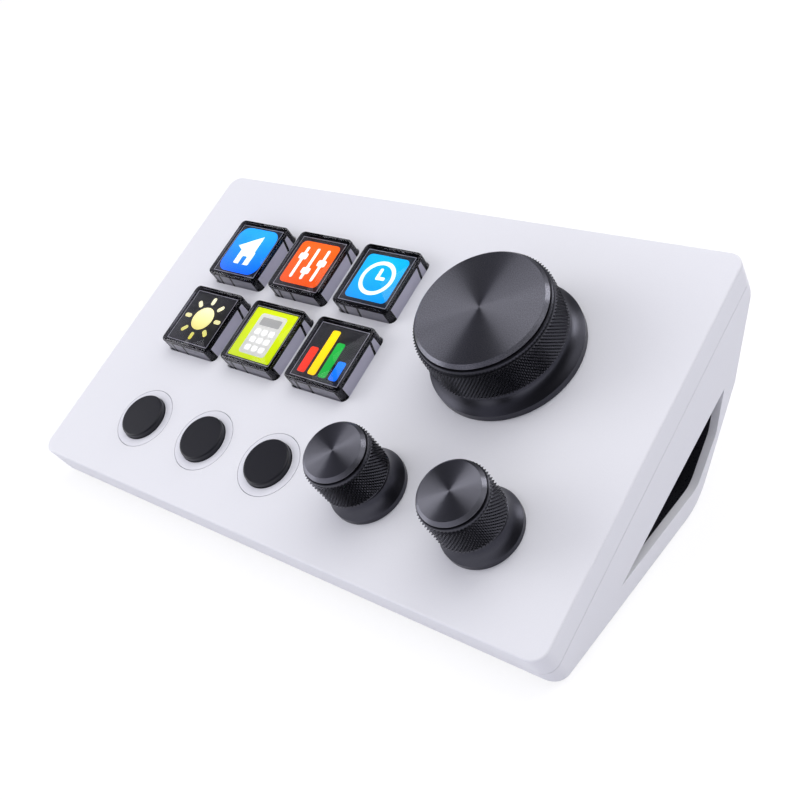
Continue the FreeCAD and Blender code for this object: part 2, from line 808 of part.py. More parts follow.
def make_dome_mat():
    """Rubber mat on the board with one dome under each key, as high as a pressed key's stem leaves."""
    width = f"2 * {KEY_PITCH} + key_width"
    depth = f"{KEY_ROW_PITCH} + key_depth"
    parts = [box("mat_sheet", width, depth, "mat_thickness", *place("keys"))]
    height = f"{BOARD_TOP} - {STEM_DROP} - key_travel - press_gap"
    for number, (x, y) in enumerate(key_places()):
        dome = doc.addObject("Part::Cone", f"mat_dome_{number}")
        bind(dome, "Radius1", "dome_radius")
        bind(dome, "Radius2", "dome_top_radius")
        bind(dome, "Height", height)
        parts.append(at(dome, x, y))
    finish(join("dome_mat", parts), "dome_mat", z=f"-{BOARD_TOP}")


def make_key_frame():
    """Black plate under the panel with a well that guides each key."""
    side = f"key_width + 2 * ({KEY_WELL})"
    length = f"key_depth + 2 * ({KEY_WELL})"
    body = new_body("key_frame")
    width = f"2 * {KEY_PITCH} + {side} + 2 * frame_wall"
    depth = f"{KEY_ROW_PITCH} + {length} + 2 * frame_wall"
    outline = rectangle(width, depth, *place("keys"))
    pad(body, add_outline(new_sketch(body, "plate"), outline), "frame_depth")
    round_edges(body, "upright", "key_corner + frame_wall", lambda edge: runs_along(edge, "Z"))
    wells = new_sketch(body, "wells", offset="frame_depth")
    for x, y in key_places():
        add_outline(wells, rectangle(side, length, x, y))
    pocket(body, wells, "frame_depth")
    finish(body, "key_frame", z="-(panel_thickness + frame_depth)")


# Keys

def make_keys():
    for number, (x, y) in enumerate(key_places(), start=1):
        make_key_cap(number, x, y)
        make_key_film(number, x, y)
        make_key_base(number, x, y)


def make_key_cap(number, x, y):
    """Clear cap: a window on four walls, open below."""
    body = new_body(f"key_cap_{number}")
    height = f"key_height + {KEY_FLANGE_DROP}"
    pad(body, add_outline(new_sketch(body, "block"), rectangle("key_width", "key_depth")), height)
    round_edges(body, "upright", "key_corner", lambda edge: runs_along(edge, "Z"))
    bevel_edges(body, "rim", "key_bevel", lambda edge: near(edge.BoundBox.ZMin, height))
    hollow = rectangle("key_width - 2 * key_wall", "key_depth - 2 * key_wall")
    pocket(body, add_outline(new_sketch(body, "hollow"), hollow), f"{height} - key_window", upward=True)
    finish(body, f"key_cap_{number}", x, y, f"-{KEY_FLANGE_DROP}")


def make_key_film(number, x, y):
    """Thin film under the window that carries the key's picture."""
    width = "key_width - 2 * (key_wall + film_gap)"
    depth = "key_depth - 2 * (key_wall + film_gap)"
    film = group(f"key_film_{number}", [box(f"film_sheet_{number}", width, depth, "key_film_thickness")])
    finish(film, f"key_film_{number}", x, y, FILM_LEVEL)


def make_key_base(number, x, y):
    """Black cup that carries the film on its rim, with the flange that stops under the panel."""
    inside = "2 * (key_wall + film_gap)"
    floor = f"key_height - key_floor_drop + {KEY_FLANGE_DROP}"
    cup = box(
        f"base_cup_{number}",
        f"key_width - {inside}",
        f"key_depth - {inside}",
        f"{FILM_LEVEL} + {KEY_FLANGE_DROP}",
    )
    room = box(
        f"base_room_{number}",
        f"key_width - {inside} - 2 * cup_wall",
        f"key_depth - {inside} - 2 * cup_wall",
        "key_floor_drop",
        z=floor,
    )
    flange = box(
        f"base_flange_{number}",
        "key_width + 2 * key_flange_side",
        "key_depth + 2 * key_flange_side",
        "key_flange_thickness",
        z="-key_flange_thickness",
    )
    stem_length = "key_stem_length + key_flange_thickness"
    stem = cylinder(f"base_stem_{number}", "key_stem_radius", stem_length, z=f"-({stem_length})")
    base = join(f"key_base_{number}", [cut(f"base_walls_{number}", cup, room), flange, stem])
    finish(base, f"key_base_{number}", x, y, f"-{KEY_FLANGE_DROP}")


# Round buttons

def make_buttons():
    for number, (x, y) in enumerate(button_places(), start=1):
        make_button_ring(number, x, y)
        make_button_cap(number, x, y)
        make_button_switch(number, x, y)


def make_button_ring(number, x, y):
    """White ring flush with the panel, glued to it from below by its flange."""
    bore = "button_radius + button_gap"
    low = "-(panel_thickness + ring_flange_thickness)"
    outline = [
        (bore, low),
        ("ring_radius + ring_flange_side", low),
        ("ring_radius + ring_flange_side", "-panel_thickness"),
        ("ring_radius", "-panel_thickness"),
        ("ring_radius", "0"),
        (bore, "0"),
    ]
    finish(turned(f"button_ring_{number}", outline), f"button_ring_{number}", x, y)


def make_button_cap(number, x, y):
    """Black button with a rounded edge and a flange that stops under the ring."""
    low = f"-({BUTTON_FLANGE_DROP} + button_flange_thickness)"
    outline = [
        ("0", low),
        ("button_radius + button_flange_side", low),
        ("button_radius + button_flange_side", f"-{BUTTON_FLANGE_DROP}"),
        ("button_radius", f"-{BUTTON_FLANGE_DROP}"),
        ("button_radius", "button_height"),
        ("0", "button_height"),
    ]
    body = turned(f"button_cap_{number}", outline)
    round_edges(body, "rim", "button_round", lambda edge: near(edge.BoundBox.ZMin, "button_height"))
    finish(body, f"button_cap_{number}", x, y)


def make_button_switch(number, x, y):
    """Tact switch on the board, its plunger just under the pressed button."""
    top = f"({BOARD_TOP} - {BUTTON_FLANGE_DROP} - button_flange_thickness - button_travel - press_gap)"
    case = box(f"switch_case_{number}", "switch_side", "switch_side", f"{top} - plunger_height")
    plunger = cylinder(f"switch_plunger_{number}", "plunger_radius", top)
    switch = join(f"button_switch_{number}", [case, plunger])
    finish(switch, f"button_switch_{number}", x, y, f"-{BOARD_TOP}")


# Knobs

def make_knobs():
    washers = []
    nuts = []
    for name in KNOBS:
        kind = "dial" if name == "dial" else "knob"
        x, y = place(name)
        make_encoder(name, x, y)
        make_rotor(name, x, y)
        make_shaft(name, x, y)
        make_foot(name, kind, x, y)
        make_grip(name, kind, x, y)
        make_disc(name, kind, x, y)
        washers.append(make_washer(name, x, y))
        nuts.append(make_nut(name, x, y))
    finish(group("encoder_washers", washers), "encoder_washers")
    finish(group("encoder_nuts", nuts), "encoder_nuts")


def make_encoder(name, x, y):
    """Encoder housing with its bushing, bored for the shaft and hollowed for the rotor."""
    case = box(f"{name}_encoder_case", "encoder_side", "encoder_side", "encoder_height")
    height = "panel_thickness + bushing_height"
    bushing = cylinder(f"{name}_bushing", BUSHING_RADIUS, height, z="encoder_height")
    bore_height = f"encoder_height + {height} + overrun"
    bore = cylinder(f"{name}_encoder_bore", SHAFT_BORE, bore_height, z="encoder_floor")
    room = cylinder(
        f"{name}_rotor_room",
        f"{SHAFT_BORE} + rotor_wall + rotor_gap",
        "rotor_height + 2 * rotor_gap",
        z="encoder_height - rotor_depth - rotor_height - rotor_gap",
    )
    housing = join(f"{name}_housing", [case, bushing])
    housing = cut(f"{name}_encoder", housing, join(f"{name}_bores", [bore, room]))
    finish(housing, f"{name}_encoder", x, y, f"-{BOARD_TOP}")


def make_rotor(name, x, y):
    """Contact ring in the encoder that the shaft turns."""
    ring = cylinder(f"{name}_rotor_ring", f"{SHAFT_BORE} + rotor_wall", "rotor_height")
    hole = cylinder(f"{name}_rotor_hole", SHAFT_BORE, "rotor_height")
    z = "-(panel_thickness + rotor_depth + rotor_height)"
    finish(cut(f"{name}_rotor", ring, hole), f"{name}_rotor", x, y, z)


def make_shaft(name, x, y):
    """Steel shaft with a flat on one side above the bushing."""
    foot = f"-({BOARD_TOP} - encoder_floor - shaft_foot_gap)"
    rod = cylinder(f"{name}_rod", "shaft_radius", f"{SHAFT_TOP} - ({foot})", z=foot)
    flat = box(
        f"{name}_rod_flat",
        "2 * shaft_radius",
        "shaft_flat",
        f"{SHAFT_TOP} - {GRIP_BOTTOM} + overrun",
        y="shaft_radius - shaft_flat / 2",
        z=GRIP_BOTTOM,
    )
    finish(cut(f"{name}_shaft", rod, flat), f"{name}_shaft", x, y)


def make_washer(name, x, y):
    disc = cylinder(
        f"{name}_washer_disc", f"{BUSHING_RADIUS} + washer_side", "washer_thickness", x, y, "foot_floor"
    )
    hole = cylinder(f"{name}_washer_hole", BUSHING_HOLE, "washer_thickness", x, y, "foot_floor")
    return cut(f"{name}_washer", disc, hole)


def make_nut(name, x, y):
    hexagon = doc.addObject("Part::Prism", f"{name}_nut_hexagon")
    hexagon.Polygon = 6
    bind(hexagon, "Circumradius", NUT_CORNER)
    bind(hexagon, "Height", "nut_height")
    level = "foot_floor + washer_thickness"
    hole = cylinder(f"{name}_nut_hole", BUSHING_HOLE, "nut_height", x, y, level)
    return cut(f"{name}_nut", at(hexagon, x, y, level), hole)


def make_foot(name, kind, x, y):
    """Fixed flared foot round the encoder's bushing, with a floor that its nut clamps."""
    neck = NECK_RADIUS[kind]
    rim = f"{kind}_foot_rim"
    outline = [(BUSHING_HOLE, "0"), (f"{neck} + {kind}_flare", "0")]
    for height_share, inward_share in FLARE_SHARES:
        radius = f"{neck} + (1 - {inward_share}) * {kind}_flare"
        outline.append((radius, f"{rim} + {height_share} * (neck_height - {rim})"))
    inner = f"{neck} - neck_wall"
    outline += [(inner, "neck_height"), (inner, "foot_floor"), (BUSHING_HOLE, "foot_floor")]
    finish(turned(f"{name}_flange", outline), f"{name}_flange", x, y)


def make_grip(name, kind, x, y):
    """Turned grip: knurled wall, smooth collar, web with a bored hub and a seat for the disc."""
    radius = f"({NECK_RADIUS[kind]} + {kind}_grip_side)"
    bore = "shaft_radius + disc_gap"
    hub = "shaft_radius + hub_wall"
    recess = f"{radius} - {kind}_disc_rim + disc_gap"
    web = f"{DISC_SEAT} - grip_wall"
    skirt = f"{GRIP_TOP} - grip_skirt"
    outline = [(bore, GRIP_BOTTOM), (hub, GRIP_BOTTOM)]
    if kind == "dial":
        inner = f"{radius} - grip_wall"
        outline += [(hub, web), (inner, web), (inner, GRIP_BOTTOM)]
    outline += [
        (f"{radius} - grip_edge", GRIP_BOTTOM),
        (radius, f"{GRIP_BOTTOM} + grip_edge"),
        (radius, skirt),
        (f"{radius} - grip_edge", f"{skirt} + grip_edge"),
        (f"{radius} - grip_edge", GRIP_TOP),
        (recess, GRIP_TOP),
        (recess, DISC_SEAT),
        (bore, DISC_SEAT),
    ]
    finish(turned(f"{name}_grip", outline), f"{name}_grip", x, y)


def make_disc(name, kind, x, y):
    """Spun top disc with a bevelled edge, seated in the grip."""
    radius = f"({NECK_RADIUS[kind]} + {kind}_grip_side - {kind}_disc_rim)"
    outline = [
        ("0", DISC_SEAT),
        (radius, DISC_SEAT),
        (radius, f"{DISC_TOP} - disc_chamfer"),
        (f"{radius} - disc_chamfer", DISC_TOP),
        ("0", DISC_TOP),
    ]
    finish(turned(f"{name}_disc", outline), f"{name}_disc", x, y)


# Fasteners

def make_screws():
    """Four case screws, each with a flat round head under the lower shell's boss."""
    screws = []
    for number, (x, y) in enumerate(screw_places()):
        length = f"{SCREW_SEAT} - screw_tip_drop"
        shank = cylinder(f"screw_shank_{number}", "screw_radius", length, x, y, f"-{SCREW_SEAT}")
        low = f"-({SCREW_SEAT} + screw_head_height)"
        head = cylinder(f"screw_head_{number}", "screw_head_radius", "screw_head_height", x, y, low)
        screws.append(join(f"screw_{number}", [shank, head]))
    finish(group("case_screws", screws), "case_screws")


def write_pieces():
    """Check every object and piece, then write one STEP file for each piece."""
    doc.recompute()
    for thing in doc.Objects:
        if "Invalid" in thing.State or "Error" in thing.State:
            raise RuntimeError(f"{thing.Name} failed: {thing.State}")
    os.makedirs("parts", exist_ok=True)
    for label, thing in pieces.items():
        if thing.Shape.isNull() or not thing.Shape.isValid() or not thing.Shape.Solids:
            raise RuntimeError(f"{label} has no valid solid")
    for label, thing in pieces.items():
        thing.Shape.exportStep(f"parts/{label}.step")
        print(f"{label}: {len(thing.Shape.Solids)} solid(s), {thing.Shape.Volume:.1f} cubic mm")


make_top_cover()
make_lower_shell()
make_feet()
make_liner()
make_board()
make_chip()
make_usb_socket()
make_dome_mat()
make_key_frame()
make_keys()
make_buttons()
make_knobs()
make_screws()
write_pieces()
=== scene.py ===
import json
import math

import bmesh
import bpy
from mathutils import Matrix, Vector
from mathutils.geometry import interpolate_bezier


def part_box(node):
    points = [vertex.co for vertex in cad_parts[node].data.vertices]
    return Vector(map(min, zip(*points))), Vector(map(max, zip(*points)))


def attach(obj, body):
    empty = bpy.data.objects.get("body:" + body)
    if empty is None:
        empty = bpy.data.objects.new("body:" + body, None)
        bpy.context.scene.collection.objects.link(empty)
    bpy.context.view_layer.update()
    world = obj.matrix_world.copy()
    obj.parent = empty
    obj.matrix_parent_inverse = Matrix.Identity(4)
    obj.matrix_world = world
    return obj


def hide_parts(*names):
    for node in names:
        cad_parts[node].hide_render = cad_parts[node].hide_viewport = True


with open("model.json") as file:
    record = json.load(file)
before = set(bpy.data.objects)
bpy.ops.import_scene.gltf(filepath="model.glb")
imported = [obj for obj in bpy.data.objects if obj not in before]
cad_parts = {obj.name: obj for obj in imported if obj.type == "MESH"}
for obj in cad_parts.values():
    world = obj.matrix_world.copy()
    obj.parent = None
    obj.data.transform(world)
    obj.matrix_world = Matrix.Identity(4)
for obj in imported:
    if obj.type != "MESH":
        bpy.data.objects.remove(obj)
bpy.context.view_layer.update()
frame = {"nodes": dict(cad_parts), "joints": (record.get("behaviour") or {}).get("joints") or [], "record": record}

# %% [markdown]
# ## The panel's own axes
# Everything on this gadget stands square to its tilted panel. A piece could be made
# upright and tilted by hand, but then its numbers would say little. So the lesson
# works in the panel's millimetres, with X to the right, Y up the slope and Z out of
# it, and one matrix takes a finished mesh to its place. The turning joint of the
# dial gives a point on the panel and the panel's normal.
# %% The panel's place
MM = 0.001
dial_turn = next(joint for joint in frame["joints"] if joint["name"] == "dial_turn")
outward = Vector(dial_turn["axis"]).normalized()
across = Vector((1, 0, 0))
upward = outward.cross(across)
DIAL_MIDDLE = (31.453, 10.504)
panel = Matrix((across, upward, outward)).transposed().to_4x4()
from_middle = DIAL_MIDDLE[0] * across + DIAL_MIDDLE[1] * upward
panel.translation = Vector(dial_turn["pos_m"]) - MM * from_middle
panel = panel @ Matrix.Scale(MM, 4)
print("panel tilt", round(math.degrees(math.acos(outward.z)), 2), "degrees")


def centre_of(node):
    """The middle of a node, in the panel's millimetres."""
    low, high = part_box(node)
    return panel.inverted() @ ((low + high) / 2)


# %% [markdown]
# ## Camera
# The camera stands in front, to the right and above. It could be moved about by eye
# until the view fits. Here it was worked out from the four straight edges of the
# panel and the round feet of the knobs, which is more exact. So its place and its
# two directions are given on the panel's axes.
# %% Camera
FOCAL_LENGTH = 49.55
CAMERA_PLACE = (139.79, -68.82, 151.71)
TO_THE_RIGHT = (0.76554, 0.48576, -0.42188)
TO_THE_BACK = (0.60247, -0.31113, 0.73500)

lens = bpy.data.cameras.new("Camera")
lens.lens = FOCAL_LENGTH
lens.clip_start = 0.01
camera = bpy.data.objects.new("Camera", lens)
bpy.context.scene.collection.objects.link(camera)
bpy.context.scene.camera = camera

panel_turn = panel.to_3x3() * (1 / MM)
view_right = panel_turn @ Vector(TO_THE_RIGHT)
view_back = panel_turn @ Vector(TO_THE_BACK)
view_up = view_back.cross(view_right)
camera.matrix_world = (
    Matrix.Translation(panel @ Vector(CAMERA_PLACE))
    @ Matrix((view_right, view_up, view_back)).transposed().to_4x4()
)
print("camera at", [round(value, 3) for value in camera.matrix_world.translation])

# %% [markdown]
# ## Helpers for meshes
# Each new piece starts as a bmesh, Blender's mesh for editing, in the panel's
# millimetres. Its object could be given a place and a turn, but then a pattern on
# the object's coordinates would turn with it. So one helper moves the mesh itself,
# makes its faces point outwards, and leaves the object at the origin.
# %% Turn a bmesh into a placed object
TOUCHING, NEAR = 0.0001, 0.001


def finish_piece(name, mesh, place, body, stands_for, materials, outwards=True):
    """Write a bmesh to an object that rides on a body and stands for a node."""
    bmesh.ops.remove_doubles(mesh, verts=mesh.verts, dist=TOUCHING)
    if outwards:
        bmesh.ops.recalc_face_normals(mesh, faces=mesh.faces)
    bmesh.ops.transform(mesh, matrix=place, verts=mesh.verts)
    data = bpy.data.meshes.new(name)
    mesh.to_mesh(data)
    mesh.free()
    for material in materials:
        data.materials.append(material)
    piece = bpy.data.objects.new(name, data)
    bpy.context.scene.collection.objects.link(piece)
    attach(piece, body)
    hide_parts(stands_for)
    print(name, "with", len(data.polygons), "faces")


def standing_on_panel(node):
    """The matrix that takes a mesh to a node's middle on the panel's surface."""
    x, y, _ = centre_of(node)
    return panel @ Matrix.Translation((x, y, 0))


print("a finished mesh is merged within", TOUCHING, "mm")

# %% [markdown]
# The feet, grips and discs of the knobs are turned on a lathe. A cylinder could be
# cut and bevelled to such a shape, but an outline that spins is what a lathe makes.
# It lies in the XZ plane, and a full turn round Z makes the piece. The shading is
# smooth then, apart from the real corners.
# %% Turn an outline into a round piece


def spin_outline(points, steps, closed=True):
    """Join radius and height pairs into a line in the XZ plane, and spin it round Z."""
    mesh = bmesh.new()
    verts = [mesh.verts.new((radius, 0, height)) for radius, height in points]
    edges = [mesh.edges.new(pair) for pair in zip(verts, verts[1:])]
    if closed:
        edges.append(mesh.edges.new((verts[-1], verts[0])))
    bmesh.ops.spin(
        mesh, geom=verts + edges, cent=(0, 0, 0), axis=(0, 0, 1), dvec=(0, 0, 0),
        angle=math.tau, steps=steps, use_merge=True, use_duplicate=False,
    )
    bmesh.ops.remove_doubles(mesh, verts=mesh.verts, dist=TOUCHING)
    return mesh


def soften_corners(mesh, sharp_degrees=30):
    """Smooth shading, with the edges of real corners left sharp."""
    for face in mesh.faces:
        face.smooth = True
    limit = math.radians(sharp_degrees)
    for edge in mesh.edges:
        edge.smooth = not (edge.is_manifold and edge.calc_face_angle() > limit)


print("a round piece starts from an outline of radius and height")

# %% [markdown]
# ## Helpers for materials
# A finish could be put together in the shader editor. In code the same nodes are
# made by name, and a change is one number. Each finish is a Principled shader whose
# plain values go on its own sockets, because an exporter reads them there. Short
# helpers find that shader, add a node and join sockets.
# %% A shader and its nodes


def shader_of(material):
    """The material's own Principled shader."""
    return material.node_tree.nodes["Principled BSDF"]


def new_finish(name, colour, **settings):
    """A material with one Principled shader."""
    material = bpy.data.materials.new(name)
    material.use_nodes = True
    shader = shader_of(material)
    shader.inputs["Base Color"].default_value = (*colour, 1)
    for socket, value in settings.items():
        shader.inputs[socket.replace("_", " ")].default_value = value
    return material


def add_node(material, kind, **settings):
    """A node of the given kind, with its sockets and options set."""
    node = material.node_tree.nodes.new(kind)
    for key, value in settings.items():
        if key in node.inputs:
            node.inputs[key].default_value = value
        else:
            setattr(node, key, value)
    return node


def join_sockets(material, *pairs):
    """Link each source socket to its target."""
    for source, target in pairs:
        material.node_tree.links.new(source, target)


print("a finish starts from one Principled shader")

# %% [markdown]
# No real surface is quite even, because a mould or a blasted tool leaves a grain.
# An image could show it, but would blur close to the camera. A noise that Blender
# works out stays sharp. It can lift the surface by a few micrometres, dull it here
# and there, and shift its colour a little.
# %% Grain


def add_grain(material, grain_mm, lift_mm, dull=None, tones=None):
    """Noise of one grain size, as bump, as roughness and as two tones where wanted."""
    place = add_node(material, "ShaderNodeTexCoord")
    noise = add_node(material, "ShaderNodeTexNoise", Scale=1 / (grain_mm * MM), Detail=3.0)
    shader = shader_of(material)
    join_sockets(material, (place.outputs["Object"], noise.inputs["Vector"]))
    if lift_mm:
        bump = add_node(material, "ShaderNodeBump", Strength=1.0, Distance=lift_mm * MM)
        join_sockets(
            material,
            (noise.outputs["Fac"], bump.inputs["Height"]),
            (bump.outputs["Normal"], shader.inputs["Normal"]),
        )
    if dull:
        spread = add_node(material, "ShaderNodeMapRange")
        spread.inputs["To Min"].default_value, spread.inputs["To Max"].default_value = dull
        join_sockets(
            material,
            (noise.outputs["Fac"], spread.inputs["Value"]),
            (spread.outputs["Result"], shader.inputs["Roughness"]),
        )
    if tones:
        ramp = add_node(material, "ShaderNodeValToRGB")
        for element, tone in zip(ramp.color_ramp.elements, tones):
            element.color = (*tone, 1)
        ramp.color_ramp.elements[0].position = 0.35
        ramp.color_ramp.elements[1].position = 0.65
        join_sockets(
            material,
            (noise.outputs["Fac"], ramp.inputs["Fac"]),
            (ramp.outputs["Color"], shader.inputs["Base Color"]),
        )
    return material


print("grain is given in millimetres, so that it stays true to the part's size")

# %% [markdown]
# ## The finishes of the solid parts
# The case and the rings round the buttons are white satin mouldings with a cool
# cast. A black glossy lining covers the hollow through the side, and the buttons
# and the frame under the keys are moulded black. These finishes could be made where
# they are used, but in one table a colour is easy to find and to change.
# %% Finishes for the case and the buttons
FINISHES = {
    "white_shell": add_grain(
        new_finish("white_shell", (0.79, 0.79, 0.815), Roughness=0.5, Specular_IOR_Level=0.4),
        0.25, 0.004, dull=(0.42, 0.56), tones=((0.785, 0.785, 0.81), (0.795, 0.795, 0.82)),
    ),
    "white_ring": add_grain(
        new_finish("white_ring", (0.78, 0.78, 0.82), Roughness=0.4),
        0.2, 0.003, dull=(0.34, 0.46), tones=((0.77, 0.77, 0.81), (0.785, 0.785, 0.825)),
    ),
    "black_gloss": add_grain(
        new_finish(
            "black_gloss", (0.012, 0.012, 0.016), Roughness=0.28, Coat_Weight=0.5,
            Coat_Roughness=0.3,
        ),
        0.3, 0.001, dull=(0.25, 0.31),
    ),
    "black_plastic": add_grain(
        new_finish("black_plastic", (0.006, 0.006, 0.007), Roughness=0.35),
        0.15, 0.004, dull=(0.28, 0.42),
    ),
    "button_black": add_grain(
        new_finish("button_black", (0.008, 0.008, 0.013), Roughness=0.34, Specular_IOR_Level=0.4),
        0.12, 0.004, dull=(0.3, 0.4), tones=((0.007, 0.007, 0.012), (0.01, 0.01, 0.016)),
    ),
}
print("finishes for the case and the buttons", list(FINISHES))

# %% [markdown]
# The parts inside are seen only through gaps and from below. They could share one
# dark grey, but each gets the surface it would have, so that it looks right when
# the case is taken off: solder mask, moulded black, plated steel, silicone, rubber.
# %% Finishes for the parts inside
FINISHES |= {
    "board_green": add_grain(
        new_finish("board_green", (0.01, 0.09, 0.04), Roughness=0.35),
        1.2, 0.01, tones=((0.008, 0.07, 0.03), (0.015, 0.11, 0.05)),
    ),
    "chip_black": add_grain(
        new_finish("chip_black", (0.012, 0.012, 0.012), Roughness=0.5),
        0.1, 0.004, dull=(0.4, 0.6),
    ),
    "switch_black": add_grain(
        new_finish("switch_black", (0.012, 0.012, 0.012), Roughness=0.5),
        0.15, 0.005, dull=(0.4, 0.6),
    ),
    "steel": add_grain(
        new_finish("steel", (0.62, 0.61, 0.6), Roughness=0.3, Metallic=1.0),
        0.2, 0.004, dull=(0.22, 0.4), tones=((0.56, 0.55, 0.54), (0.66, 0.65, 0.64)),
    ),
    "encoder_metal": add_grain(
        new_finish("encoder_metal", (0.5, 0.5, 0.5), Roughness=0.45, Metallic=1.0),
        0.3, 0.008, dull=(0.35, 0.55),
    ),
    "grey_rubber": add_grain(
        new_finish("grey_rubber", (0.3, 0.3, 0.32), Roughness=0.7),
        0.2, 0.006, dull=(0.6, 0.8),
    ),
    "black_rubber": add_grain(
        new_finish("black_rubber", (0.014, 0.014, 0.014), Roughness=0.8),
        0.15, 0.01, dull=(0.7, 0.9), tones=((0.012, 0.012, 0.012), (0.02, 0.02, 0.02)),
    ),
}
print(len(FINISHES), "finishes so far")

# %% [markdown]
# The key caps are clear acrylic, which bends light a little less than window glass.
# A see-through mix would be faster, but only real transmission shows the tray and
# the picture through an edge as they should be. The polish is nearly perfect, so
# the noise changes the roughness by a trace, and the mirrored light is toned down.
# %% The finish of the clear caps
FINISHES["clear_cap"] = add_grain(
    new_finish(
        "clear_cap", (1, 1, 1), Roughness=0.0, IOR=1.49, Transmission_Weight=1.0,
        Specular_Tint=(0.4, 0.4, 0.45, 1),
    ),
    3.0, 0.0, dull=(0.0, 0.012),
)
print(len(FINISHES), "finishes for the solid parts")

# %% [markdown]
# The record names a slot for each node. A node whose slot has a finish here takes
# it, and its mesh stays as it came. The nodes of the other slots are replaced
# further on.
# %% Give every node the finish of its slot
slot_of = {row["node"]: row["material_slot"] for row in frame["record"]["subparts"]}
for node, piece in frame["nodes"].items():
    finish = FINISHES.get(slot_of[node])
    if finish:
        piece.data.materials.clear()
        piece.data.materials.append(finish)
finished = sum(slot in FINISHES for slot in slot_of.values())
print("finished", finished, "of", len(slot_of), "nodes")

# %% [markdown]
# ## Anodised metal
# The feet, grips and discs of the knobs are turned from aluminium and dyed black.
# A black plastic would be darker and have a white sheen, while a dyed metal still
# mirrors like a metal. So the shader is fully metallic and has a dark colour with a
# cool cast, and a very fine grain breaks the reflections up a little.
# %% The knobs' metal
foot_finish = add_grain(
    new_finish("knob_foot_black", (0.065, 0.065, 0.079), Roughness=0.35, Metallic=1.0),
    0.08, 0.002, dull=(0.31, 0.39), tones=((0.06, 0.06, 0.073), (0.07, 0.07, 0.085)),
)
grip_finish = add_grain(
    new_finish("knob_grip_black", (0.07, 0.07, 0.083), Roughness=0.3, Metallic=1.0),
    0.06, 0.002, dull=(0.26, 0.34), tones=((0.06, 0.06, 0.072), (0.08, 0.08, 0.095)),
)
print("dark metals", foot_finish.name, "and", grip_finish.name)

# %% [markdown]
# ## The flared feet
# Each knob stands in a fixed foot that widens to a plain rim on the panel. The
# flare could be an arc or a row of points set by hand. A Bezier curve is smoother
# than the points and freer than the arc: it leaves the rim at a slant and ends
# upright at the neck. The outline goes down again inside, where it leaves room for
# the bushing and its nut.
# %% Feet
ROUND_STEPS = 128
FOOT_TOP, FOOT_FLOOR, FOOT_WALL, FOOT_EDGE = 4.5, 0.8, 0.5, 0.1
FLARE_STEPS = 16
BUSHING_HOLE = 3.55
CHAMFER = 0.12
SMALL_KNOBS = ("left_knob", "right_knob")


def make_foot(name, neck, flare, rim):
    """A turned foot with a smooth flare, open in the middle for the bushing and nut."""
    reach = FOOT_TOP - rim
    curve = interpolate_bezier(
        (neck + flare, 0, rim), (neck + 0.7 * flare, 0, rim + 0.2 * reach),
        (neck, 0, rim + 0.5 * reach), (neck, 0, FOOT_TOP - CHAMFER), FLARE_STEPS,
    )
    points = [(BUSHING_HOLE, 0), (neck + flare - FOOT_EDGE, 0), (neck + flare, FOOT_EDGE)]
    points += [(point.x, point.z) for point in curve]
    points += [(neck - CHAMFER, FOOT_TOP), (neck - FOOT_WALL, FOOT_TOP)]
    points += [(neck - FOOT_WALL, FOOT_FLOOR), (BUSHING_HOLE, FOOT_FLOOR)]
    mesh = spin_outline(points, ROUND_STEPS)
    soften_corners(mesh)
    finish_piece(
        f"{name}_flared_foot", mesh, standing_on_panel(f"{name}_flange"), "case",
        f"{name}_flange", [foot_finish],
    )


make_foot("dial", neck=12.9, flare=2.22, rim=1.5)
for knob in SMALL_KNOBS:
    make_foot(knob, neck=6.147, flare=1.43, rim=1.2)

# %% [markdown]
# ## The knurl
# A grip's wall carries a diamond knurl: two sets of slanting grooves cross and
# leave rows of small pyramids. A bump in the shader could show them, but the grip's
# outline would stay smooth, and grooves cut one by one would take long. Here the
# wall is a plain turned band whose grid has twice as many columns and rows as there
# are diamonds. Every second grid point sinks to the grooves' depth, and each square
# is split along the line between its two sunk points, which gives the pyramids
# their four flat sides.
# %% A knurl on a turned wall
KNURL_ROWS = 14
KNURL_TOP = 12.0
KNURL_DEPTH = 0.42
ON_GRID = 0.01


def sink_every_second(mesh, radius, bottom, columns):
    """Sink alternate grid points of a turned wall, then split its squares between them."""
    step = (KNURL_TOP - bottom) / KNURL_ROWS
    sunk = []
    for vert in mesh.verts:
        row = (vert.co.z - bottom) / step
        on_wall = abs(math.hypot(vert.co.x, vert.co.y) - radius) < ON_GRID
        if not on_wall or abs(row - round(row)) > ON_GRID:
            continue
        column = round(math.atan2(vert.co.y, vert.co.x) / math.tau * columns)
        if (column + round(row)) % 2:
            sunk.append(vert)
    inwards = 1 - KNURL_DEPTH / radius
    bmesh.ops.scale(mesh, vec=(inwards, inwards, 1), verts=sunk)
    bmesh.ops.connect_verts(mesh, verts=sunk)


def sharpen_knurl(mesh, radius, bottom):
    """Flat shading on the pyramids, so that each side catches the light by itself."""
    for face in mesh.faces:
        middle = face.calc_center_median()
        outside = math.hypot(middle.x, middle.y) > radius - KNURL_DEPTH - 0.1
        if outside and bottom < middle.z < KNURL_TOP:
            face.smooth = False


print("the knurl is", KNURL_DEPTH, "mm deep")

# %% [markdown]
# The dial's grip is hollow, and only a hub in its middle holds the shaft. The small
# grips are solid, with a short plain step under the knurl. Above it, every grip
# ends in a smooth collar, and the disc's neck stands in that with a fine gap. Both
# kinds could have an outline of their own, but they share most of their points, so
# one function draws both.
# %% Knurled grips
GRIP_BOTTOM, GROOVE_FLOOR = 5.3, 12.95
DISC_SEAT, DISC_NECK = 12.4, 0.3
SHAFT_HOLE, HUB_RADIUS, GRIP_WALL, NECK_GAP = 3.03, 4.6, 1.6, 0.03
STEP_HEIGHT, STEP_DEPTH = 0.3, 0.2
DIAL_DISC, SMALL_DISC = 12.7, 6.1


